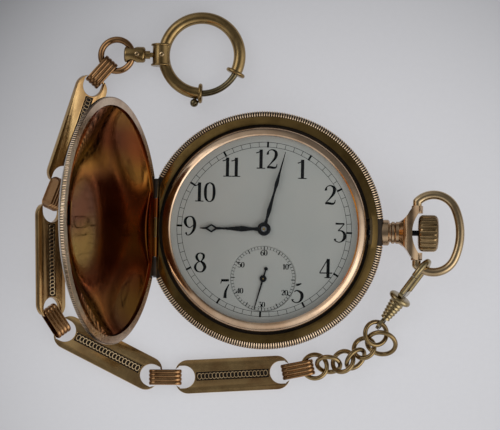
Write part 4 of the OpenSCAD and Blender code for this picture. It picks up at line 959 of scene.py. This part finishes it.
class Digits:
    """Figures with thick and thin strokes, each of x, y and width in hundredths of the height."""

    pitch: float = 0.66
    narrow: float = 0.46
    middle: int = 30
    strokes: dict[str, list[list[tuple[int, int, int]]]] = {
        "0": [[(28, 100, 5), (46, 86, 12), (51, 50, 16), (46, 14, 12), (28, 0, 5), (10, 14, 12),
               (5, 50, 16), (10, 86, 12), (28, 100, 5)]],
        "1": [[(30, 100, 17), (30, 50, 17), (30, 0, 17)],
              [(28, 96, 5), (18, 86, 5), (4, 82, 6)],
              [(8, 2, 5), (52, 2, 5)]],
        "2": [[(10, 74, 14), (9, 80, 12), (14, 93, 5), (30, 100, 6), (48, 92, 13), (53, 74, 17),
               (45, 52, 13), (22, 24, 6), (6, 6, 5)],
              [(6, 6, 10), (20, 8, 13), (40, 5, 12), (52, 6, 10)],
              [(52, 6, 10), (57, 16, 5), (58, 26, 4)]],
        "3": [[(8, 97, 10), (30, 96, 9), (54, 97, 8)],
              [(54, 96, 5), (38, 77, 5), (22, 60, 5)],
              [(22, 60, 5), (42, 58, 8), (55, 44, 15), (56, 24, 17), (44, 6, 9), (26, 0, 5), (8, 8, 7),
               (7, 18, 13)]],
        "4": [[(42, 100, 5), (22, 64, 5), (0, 27, 5)],
              [(0, 26, 6), (30, 26, 6), (66, 26, 6)],
              [(44, 100, 17), (44, 50, 17), (44, 0, 17)],
              [(26, 2, 5), (62, 2, 5)]],
        "5": [[(12, 94, 9), (32, 93, 12), (52, 100, 6)],
              [(13, 95, 5), (11, 75, 5), (10, 54, 5)],
              [(10, 54, 5), (30, 63, 7), (52, 50, 15), (56, 30, 17), (46, 8, 10), (26, 0, 5), (8, 8, 7),
               (7, 18, 13)]],
        "6": [[(50, 84, 12), (44, 97, 5), (28, 94, 7), (10, 70, 14), (5, 38, 17), (14, 8, 11),
               (32, 0, 5), (50, 10, 12), (55, 30, 16), (46, 50, 10), (30, 58, 5), (12, 46, 5)]],
        "7": [[(2, 76, 5), (5, 90, 5)],
              [(3, 93, 12), (28, 93, 13), (57, 95, 9)],
              [(57, 94, 5), (42, 66, 6), (28, 34, 13), (25, 0, 17)]],
        "8": [[(30, 100, 5), (46, 92, 11), (48, 78, 13), (40, 62, 7), (30, 55, 5), (18, 63, 11),
               (11, 78, 14), (16, 93, 9), (30, 100, 5)],
              [(30, 56, 6), (46, 46, 15), (55, 26, 17), (46, 6, 10), (30, 0, 5), (12, 7, 9), (4, 26, 13),
               (14, 47, 7), (30, 56, 6)]],
    }

    @classmethod
    def glyph(cls, figure: str) -> list[Stroke]:
        """Strokes of a figure one unit high, with x from its middle.

        Args:
            figure: The figure; a nine is a six turned round.

        Returns:
            Its strokes.
        """
        way = -1 if figure == "9" else 1
        return [[(way * (x - cls.middle) / 100, 0.5 + way * (y - 50) / 100, w / 100) for x, y, w in stroke]
                for stroke in cls.strokes["6" if figure == "9" else figure]]

    @classmethod
    def write(cls, draft: Draft, text: str, center: Point, high: float, faces: Point,
              wide: float = 1.0, bold: float = 1.0, steps: int = 5) -> None:
        """Writes figures about a centre.

        Args:
            draft: Draft that takes the strokes.
            text: Figures to write.
            center: Middle of the text.
            high: Height of the figures.
            faces: Heights of the print's lower and upper face.
            wide: Width factor.
            bold: Stroke factor.
            steps: New points for each stretch of a curved stroke.
        """
        pitch = [cls.narrow if figure == "1" else cls.pitch for figure in text]
        left = -sum(pitch) / 2
        for figure, step in zip(text, pitch):
            for stroke in cls.glyph(figure):
                fine = smooth_path(stroke, steps) if len(stroke) > 2 else stroke
                draft.ribbon([((left + step / 2 + x) * high * wide + center[0],
                               (y - 0.5) * high + center[1], w * high * bold) for x, y, w in fine], *faces)
            left += step


@dataclass
class DialPrint:
    """Printed figures and tracks of the dial and of the seconds dial."""

    top: float = 10.7
    sink: float = 0.25
    thick: float = 0.012
    lift: float = 0.004
    turn: float = 1.5
    figure: float = 4.1
    figure_radii: tuple[float, ...] = (15.1, 15.3, 15.9, 16.2, 15.6, 15.4, 0.0, 15.1, 15.45, 15.96,
                                       14.9, 15.07)
    figure_steps: int = 14
    track: Point = (17.72, 18.74)
    track_line: float = 0.09
    track_steps: int = 180
    minute_widths: Point = (0.10, 0.42)
    hour_reach: Point = (0.12, 0.12)
    seconds_at: Point = (-0.05, -10.6)
    seconds_track: Point = (6.35, 6.92)
    seconds_lines: Point = (0.035, 0.05)
    seconds_steps: int = 120
    second_widths: Point = (0.12, 0.2)
    fifth_reach: Point = (0.3, 0.0)
    seconds_figure: float = 1.1
    seconds_wide: float = 1.05
    seconds_bold: float = 1.5
    seconds_figure_r: float = 5.55
    well_r: float = 7.2
    well_edge_r: float = 7.1
    well_slope: float = 0.10
    well_rise: float = 0.006
    well_under: float = 0.02
    well_shift: float = 0.05
    well_steps: int = 96

    def at(self, radius: float, degrees: float) -> Point:
        """Point of the dial at a radius and a clock angle, with the dial's own turn."""
        return clock(radius, degrees + self.turn)

    def faces(self, ground: float) -> Point:
        """Heights of the print's lower and upper face over a ground."""
        return (ground + self.lift, ground + self.lift + self.thick)

    def circle(self, draft: Draft, center: Point, radius: float, width: float, faces: Point,
               steps: int) -> None:
        """Adds a thin printed circle.

        Args:
            draft: Draft that takes the circle.
            center: Middle of the circle.
            radius: Radius of the line's middle.
            width: Width of the line.
            faces: Heights of the print's lower and upper face.
            steps: Steps of the turn.
        """
        low, high = faces
        inner, outer = radius - width / 2, radius + width / 2
        draft.lathe([(inner, low), (outer, low), (outer, high), (inner, high)], steps, (*center, 0.0))

    def ticks(self, draft: Draft, center: Point, track: Point, widths: Point, reach: Point,
              faces: Point) -> None:
        """Adds sixty printed ticks, every fifth one bolder and longer.

        Args:
            draft: Draft that takes the ticks.
            center: Middle of the track.
            track: Inner and outer radius of the track.
            widths: Widths of a fine and of a bold tick.
            reach: How far a bold tick passes the track, inward and outward.
            faces: Heights of the print's lower and upper face.
        """
        for index in range(60):
            bold = index % 5 == 0
            radii = (track[0] - reach[0], track[1] + reach[1]) if bold else track
            ends = [clock(radius, 6 * index + self.turn) for radius in radii]
            draft.ribbon([(center[0] + x, center[1] + y, widths[bold]) for x, y in ends], *faces)

    def cut_well(self, draft: Draft) -> None:
        """Drops the parts of the figures that the sunk seconds dial cuts away.

        Args:
            draft: Draft of the figures.
        """
        middle = Vector((*self.seconds_at, 0.0))
        draft.faces = [face for face in draft.faces
                       if min((draft.points[i] - middle).xy.length for i in face) > self.well_r]

    def hour_print(self) -> None:
        """Builds the hour figures, without the six that the seconds dial takes the place of."""
        figures, faces = Draft(), self.faces(self.top)
        for hour in (1, 2, 3, 4, 5, 7, 8, 9, 10, 11, 12):
            center = self.at(self.figure_radii[hour % 12], 30 * hour)
            Digits.write(figures, str(hour), center, self.figure, faces, steps=self.figure_steps)
        self.cut_well(figures)
        figures.build("dial_figures", "case", Finishes.PRINT, smooth=None)

    def minute_print(self) -> None:
        """Builds the minute track between its two circles."""
        track, faces, middle = Draft(), self.faces(self.top), (0.0, 0.0)
        for radius in self.track:
            self.circle(track, middle, radius, self.track_line, faces, self.track_steps)
        self.ticks(track, middle, self.track, self.minute_widths, self.hour_reach, faces)
        track.build("minute_track", "case", Finishes.PRINT, smooth=None)

    def seconds_print(self) -> None:
        """Builds the track and the figures of the sunk seconds dial."""
        seconds, faces = Draft(), self.faces(self.top - self.sink)
        for radius, width in zip(self.seconds_track, self.seconds_lines):
            self.circle(seconds, self.seconds_at, radius, width, faces, self.seconds_steps)
        self.ticks(seconds, self.seconds_at, self.seconds_track, self.second_widths, self.fifth_reach,
                   faces)
        for index in range(6):
            x, y = self.at(self.seconds_figure_r, 60 * index)
            center = (self.seconds_at[0] + x, self.seconds_at[1] + y)
            Digits.write(seconds, str(index * 10 or 60), center, self.seconds_figure, faces,
                         self.seconds_wide, self.seconds_bold)
        seconds.build("seconds_track", "case", Finishes.PRINT, smooth=None)

    def well_edge(self) -> None:
        """Builds the sloped edge round the sunk seconds dial."""
        radius, slope, floor = self.well_edge_r, self.well_slope, self.top - self.sink
        profile = [(radius - slope, floor), (radius, floor), (radius + slope, self.top),
                   (radius + slope, self.top + self.well_rise),
                   (radius - self.well_under, self.top - self.well_under)]
        x, y = self.seconds_at
        edge = Draft().lathe(profile, self.well_steps, (x + self.well_shift, y, 0.0))
        edge.build("seconds_well_edge", "case", Finishes.DIAL)

    def make(self) -> None:
        """Builds the dial's print."""
        self.hour_print()
        self.minute_print()
        self.seconds_print()
        self.well_edge()


@dataclass
class HandBosses:
    """Turned bosses at the middle of the hands."""

    minute: tuple[float, ...] = (1.42, 0.2, 0.5, 0.08)
    seconds: tuple[float, ...] = (0.75, 0.12, 0.3, 0.04)
    curve: tuple[Point, ...] = ((1.0, 0.0), (1.0, 0.45), (0.93, 0.8), (0.8, 1.0), (0.66, 0.86), (0.5, 0.8))
    lip: float = 0.9
    steps: int = 48

    def boss(self, hand: str, size: tuple[float, ...]) -> None:
        """Builds a low dished boss with a raised rim round a hand's hole.

        Args:
            hand: Name of the hand.
            size: Radius, height, hole and depth in the hand.
        """
        radius, high, hole, sunk = size
        profile = [(hole, 0.0), *((radius * r, high * z) for r, z in self.curve), (hole, high * self.lip)]
        axis = Vector(joint(hand + "_turn")["pos_m"]) / MM
        at = (axis.x, axis.y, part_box(hand)[1].z / MM - sunk)
        Draft().lathe(profile, self.steps, at).build(hand + "_boss", hand, Finishes.BLUED)

    def make(self) -> None:
        """Builds both bosses."""
        self.boss("minute_hand", self.minute)
        self.boss("seconds_hand", self.seconds)


@dataclass
class ChainDress:
    """Ribbed bands and the panels' strips of woven loops.

    A band's size is its length, width, height and wall, and a loop's is its half length, half width and
    wire; the room at a strip's ends is in pitches.
    """

    bands: tuple[str, ...] = ("band_1", "band_2", "band_3", "band_4", "band_5")
    panels: tuple[str, ...] = ("panel_1", "panel_2", "panel_3", "panel_4")
    band_size: tuple[float, ...] = (7.2, 3.36, 3.1, 0.3)
    ribs: int = 4
    rib_depth: float = 0.17
    rib_steps: int = 8
    rib_curve: float = 0.6
    bend_steps: int = 14
    bend_play: float = 0.01
    edge_round: float = 0.06
    strip: tuple[float, float] = (15.7, 1.86)
    loop: Place = (0.44, 0.62, 0.15)
    loop_pitch: float = 0.8
    loop_lean: float = 15.0
    end_room: float = 0.6
    loop_steps: int = 14
    wire_sides: int = 6
    channel_z: float = 0.36
    channel_high: float = 0.02
    loop_rise: float = 0.17

    def band(self, name: str) -> None:
        """Replaces a band by a folded strap with ribs along it.

        Args:
            name: Name of the band.
        """
        length, width, high, wall = self.band_size
        bend = high / 2 - self.bend_play
        steps = self.ribs * self.rib_steps
        section = []
        for j in range(steps + 1):
            crest = abs(math.sin(math.pi * self.ribs * j / steps)) ** self.rib_curve
            section.append((-width / 2 + width * j / steps, -self.rib_depth * (1 - crest)))
        section += [(width / 2 - self.edge_round, -wall), (-width / 2 + self.edge_round, -wall)]
        rows = []
        for end, first in ((length / 2 - bend, -90), (-length / 2 + bend, 90)):
            for i in range(self.bend_steps + 1):
                x, z = polar(1.0, first + 180 * i / self.bend_steps)
                way = Vector((x, 0.0, z))
                rows.append([Vector((end, y, 0.0)) + way * (bend + lift) for y, lift in section])
        draft = Draft().grid(rows, close_rows=True, close_columns=True).turned(node_axes(name))
        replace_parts(draft.build(name + "_ribbed", name, Finishes.LINK, smooth=50.0), name)

    def add_loop(self, draft: Draft, at: Vector, lean: Matrix) -> None:
        """Adds a small closed loop of wire, leaning over its neighbour.

        Args:
            draft: Draft that takes the loop.
            at: Middle of the loop.
            lean: Turn of the loop.
        """
        along, across, wire = self.loop
        rows = []
        for i in range(self.loop_steps):
            way = Vector((*polar(1.0, 360 * i / self.loop_steps), 0.0))
            middle = Vector((way.x * along, way.y * across, 0.0))
            sides = [polar(wire, 360 * j / self.wire_sides) for j in range(self.wire_sides)]
            rows.append([at + lean @ (middle + way * out + Vector((0, 0, up))) for out, up in sides])
        draft.grid(rows, close_rows=True, close_columns=True)

    def woven_strip(self, name: str) -> None:
        """Lays a dark floor of painted shade and a flat chain of leaning loops in the sunk channel on both
        faces of a panel.

        Args:
            name: Name of the panel.
        """
        axes = node_axes(name)
        length, width = self.strip
        floor, loops = Draft(), Draft()
        for side in (1, -1):
            face = self.channel_z * side
            rows = [[Vector((x * length / 2, y * width / 2, face + side * lift)) for x, y in (
                (-1, -1), (1, -1), (1, 1), (-1, 1))] for lift in (0.0, self.channel_high)]
            floor.grid(rows, close_columns=True).lid(rows[0], flip=True).lid(rows[1])
            count = int(length / self.loop_pitch - self.end_room)
            lean = Matrix.Rotation(math.radians(self.loop_lean * side), 3, "Y")
            for k in range(count):
                at = Vector(((k - (count - 1) / 2) * self.loop_pitch, 0.0, face + side * self.loop_rise))
                self.add_loop(loops, at, lean)
        # The channel floor is a dark sheet of painted shade under the loops
        floor.turned(axes).build(name + "_channel", name, Finishes.CREVICE, smooth=None)
        loops.turned(axes).build(name + "_loops", name, Finishes.STRAND, smooth=60.0)

    def make(self) -> None:
        """Builds the chain's detail."""
        for name in self.bands:
            self.band(name)
        for name in self.panels:
            self.woven_strip(name)


@dataclass
class Rivets:
    """Small ring-shaped rivet heads on the swivel and on the bolt ring's collar."""

    radius: float = 0.55
    core: float = 0.01
    core_z: Point = (-0.3, -0.08)
    steps: int = 24
    curve: tuple[Point, ...] = ((1.0, -0.3), (1.0, 0.0), (0.9, 0.12), (0.7, 0.16), (0.48, 0.1),
                                (0.38, -0.06))
    table_z: float = 2.3
    swivel_at: Point = (2.9, 1.72)
    ring_at: Point = (2.0, 1.88)

    def head(self, name: str, body: str, at: Place) -> None:
        """Builds a rivet head with a sunk middle.

        Args:
            name: Name of the piece.
            body: Body that carries it.
            at: Its place in millimetres.
        """
        low, high = self.core_z
        profile = [(self.core, low), *((self.radius * r, z) for r, z in self.curve), (self.core, high)]
        Draft().lathe(profile, self.steps, at).build(name, body, Finishes.STRAND)

    def make(self) -> None:
        """Builds both rivet heads."""
        low, high = (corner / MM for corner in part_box("bolt_swivel"))
        along, up = self.swivel_at
        self.head("swivel_rivet", "bolt_swivel", (low.x + along, (low.y + high.y) / 2, self.table_z + up))
        ring = Vector(joint("bolt_ring_swivel")["pos_m"]) / MM
        along, up = self.ring_at
        self.head("bolt_ring_rivet", "bolt_ring", (ring.x + along, ring.y, ring.z + up))


# Setting


@dataclass
class Studio:
    """Pale floor, soft lamps and the camera of the photograph.

    The camera's places are in millimetres; its clipping, the floor and the lamps are in metres. A side
    of the surround is its way, where it starts and is full as a cosine, and its level.
    """

    eye: Place = (20.747, -31.444, 566.571)
    target: Place = (-3.266, 3.270, 6.5)
    roll: float = -0.0211
    lens: float = 187.07
    sensor: float = 36.0
    clip: Point = (0.01, 20.0)
    brightest: Point = (0.011, -0.023)
    fade_out: float = 0.115
    falloff: float = 3.2
    near: Screen = (224, 224, 228)
    far: Screen = (50, 51, 54)
    grain: Screen = (150, 150, 152)
    grain_span: Point = (0.3, 0.7)
    grain_share: float = 0.03
    glow: float = 0.6
    floor_reach: float = 3.0
    floor_drop: float = 0.00002
    dim: float = 0.16
    sides: tuple[tuple[Place, float, float, float], ...] = (
        ((0.78, -0.5, 0.36), 0.5, 0.95, 0.95),
        ((-0.55, 0.62, 0.55), 0.6, 0.97, 0.3),
        ((-0.4, -0.8, 0.45), 0.7, 0.97, 0.5),
    )
    lamps: tuple[tuple[str, Place, float, float], ...] = (
        ("key_lamp", (0.75, -0.5, 0.5), 0.7, 1.6),
        ("fill_lamp", (-0.8, 0.5, 0.8), 0.8, 2.0),
    )

    def camera(self) -> None:
        """Places the camera where the photograph was taken from."""
        data = bpy.data.cameras.new("camera")
        data.lens, data.sensor_width = self.lens, self.sensor
        data.clip_start, data.clip_end = self.clip
        eye, target = Vector(self.eye) * MM, Vector(self.target) * MM
        back = (eye - target).normalized()
        right = Vector((math.sin(self.roll), math.cos(self.roll), 0.0)).cross(back).normalized()
        up = back.cross(right)
        turn = Matrix((right, up, back)).transposed().to_4x4()
        camera = place("camera", data)
        camera.matrix_world = Matrix.Translation(eye) @ turn
        bpy.context.scene.camera = camera

    def floor(self) -> None:
        """Lays the pale floor with a painted pool of light, brightest near the lower right of the case and
        dark far away, glowing with its own colour as painted light.
        """
        corners = ((-1, -1), (1, -1), (1, 1), (-1, 1))
        mesh = bpy.data.meshes.new("floor")
        mesh.from_pydata([(x * self.floor_reach, y * self.floor_reach, 0.0) for x, y in corners], [],
                         [(0, 1, 2, 3)])
        floor = place("floor", mesh)
        floor.location.z = -self.floor_drop
        sheet = NodeSheet("floor_paper", Roughness=0.9, Specular_IOR_Level=0.1, Emission_Strength=self.glow)
        # Painted pool of light: the floor fades from its near colour to its far colour with distance from one
        # spot
        apart = sheet.node("VectorMath", {0: sheet.coords, 1: (*self.brightest, 0.0)}, operation="DISTANCE")
        farther = sheet.math("POWER", apart.outputs["Value"], self.falloff)
        share = sheet.spread(farther, 0.0, self.fade_out ** self.falloff, 0.0, 1.0)
        base = sheet.mix(share, linear(*self.near), linear(*self.far))
        speckle = sheet.spread(sheet.noise(WEAR_CELLS), *self.grain_span, 0.0, self.grain_share)
        paper_and_light_pool = sheet.mix(speckle, base, linear(*self.grain))
        # The floor glows with its own colour as painted light, which washes out the watch's shadows; its lit
        # colour is darkened by the same share
        sheet.feed("Base Color", sheet.mix(self.glow, paper_and_light_pool, (0.0, 0.0, 0.0)))
        sheet.feed("Emission Color", paper_and_light_pool)
        mesh.materials.append(sheet.material)

    def lamp(self, name: str, at: Place, size: float, power: float) -> None:
        """Adds a square soft lamp that faces the watch.

        Args:
            name: Name of the lamp.
            at: Its place in metres.
            size: Length of its side.
            power: Its power in watts.
        """
        data = bpy.data.lights.new(name, "AREA")
        data.size, data.energy = size, power
        lamp = place(name, data)
        lamp.location = at
        lamp.rotation_euler = (-Vector(at)).to_track_quat("-Z", "Y").to_euler()

    def world(self) -> None:
        """Sets a dim surround with a broad bright side at the lower right and soft light elsewhere."""
        world = bpy.data.worlds.new("surround")
        bpy.context.scene.world = world
        world.use_nodes = True
        sky = NodeTree(world.node_tree)
        coords = sky.node("TexCoord", {}).outputs["Generated"]
        light: Socket | float = self.dim
        for way, edge, middle, level in self.sides:
            way = Vector(way).normalized()
            toward = sky.node("VectorMath", {0: coords, 1: way}, operation="DOT_PRODUCT")
            lobe = sky.spread(toward.outputs["Value"], edge, middle, 0.0, level, "SMOOTHSTEP")
            light = sky.math("ADD", lobe, light)
        background = sky.tree.nodes["Background"]
        sky.plug(background.inputs["Color"], light)
        sky.plug(background.inputs["Strength"], 1.0)

    def make(self) -> None:
        """Builds the setting."""
        self.camera()
        self.floor()
        self.world()
        for lamp in self.lamps:
            self.lamp(*lamp)
        bpy.context.scene.view_settings.view_transform = "Standard"


def main() -> None:
    """Builds the setting and every sub-assembly in order."""
    logging.basicConfig(level=logging.INFO, format="%(name)s: %(message)s")
    Studio().make()
    Nodes().dress()
    ReededEdges().make()
    DialPrint().make()
    HandBosses().make()
    ChainDress().make()
    Rivets().make()


if __name__ == "__main__":
    main()
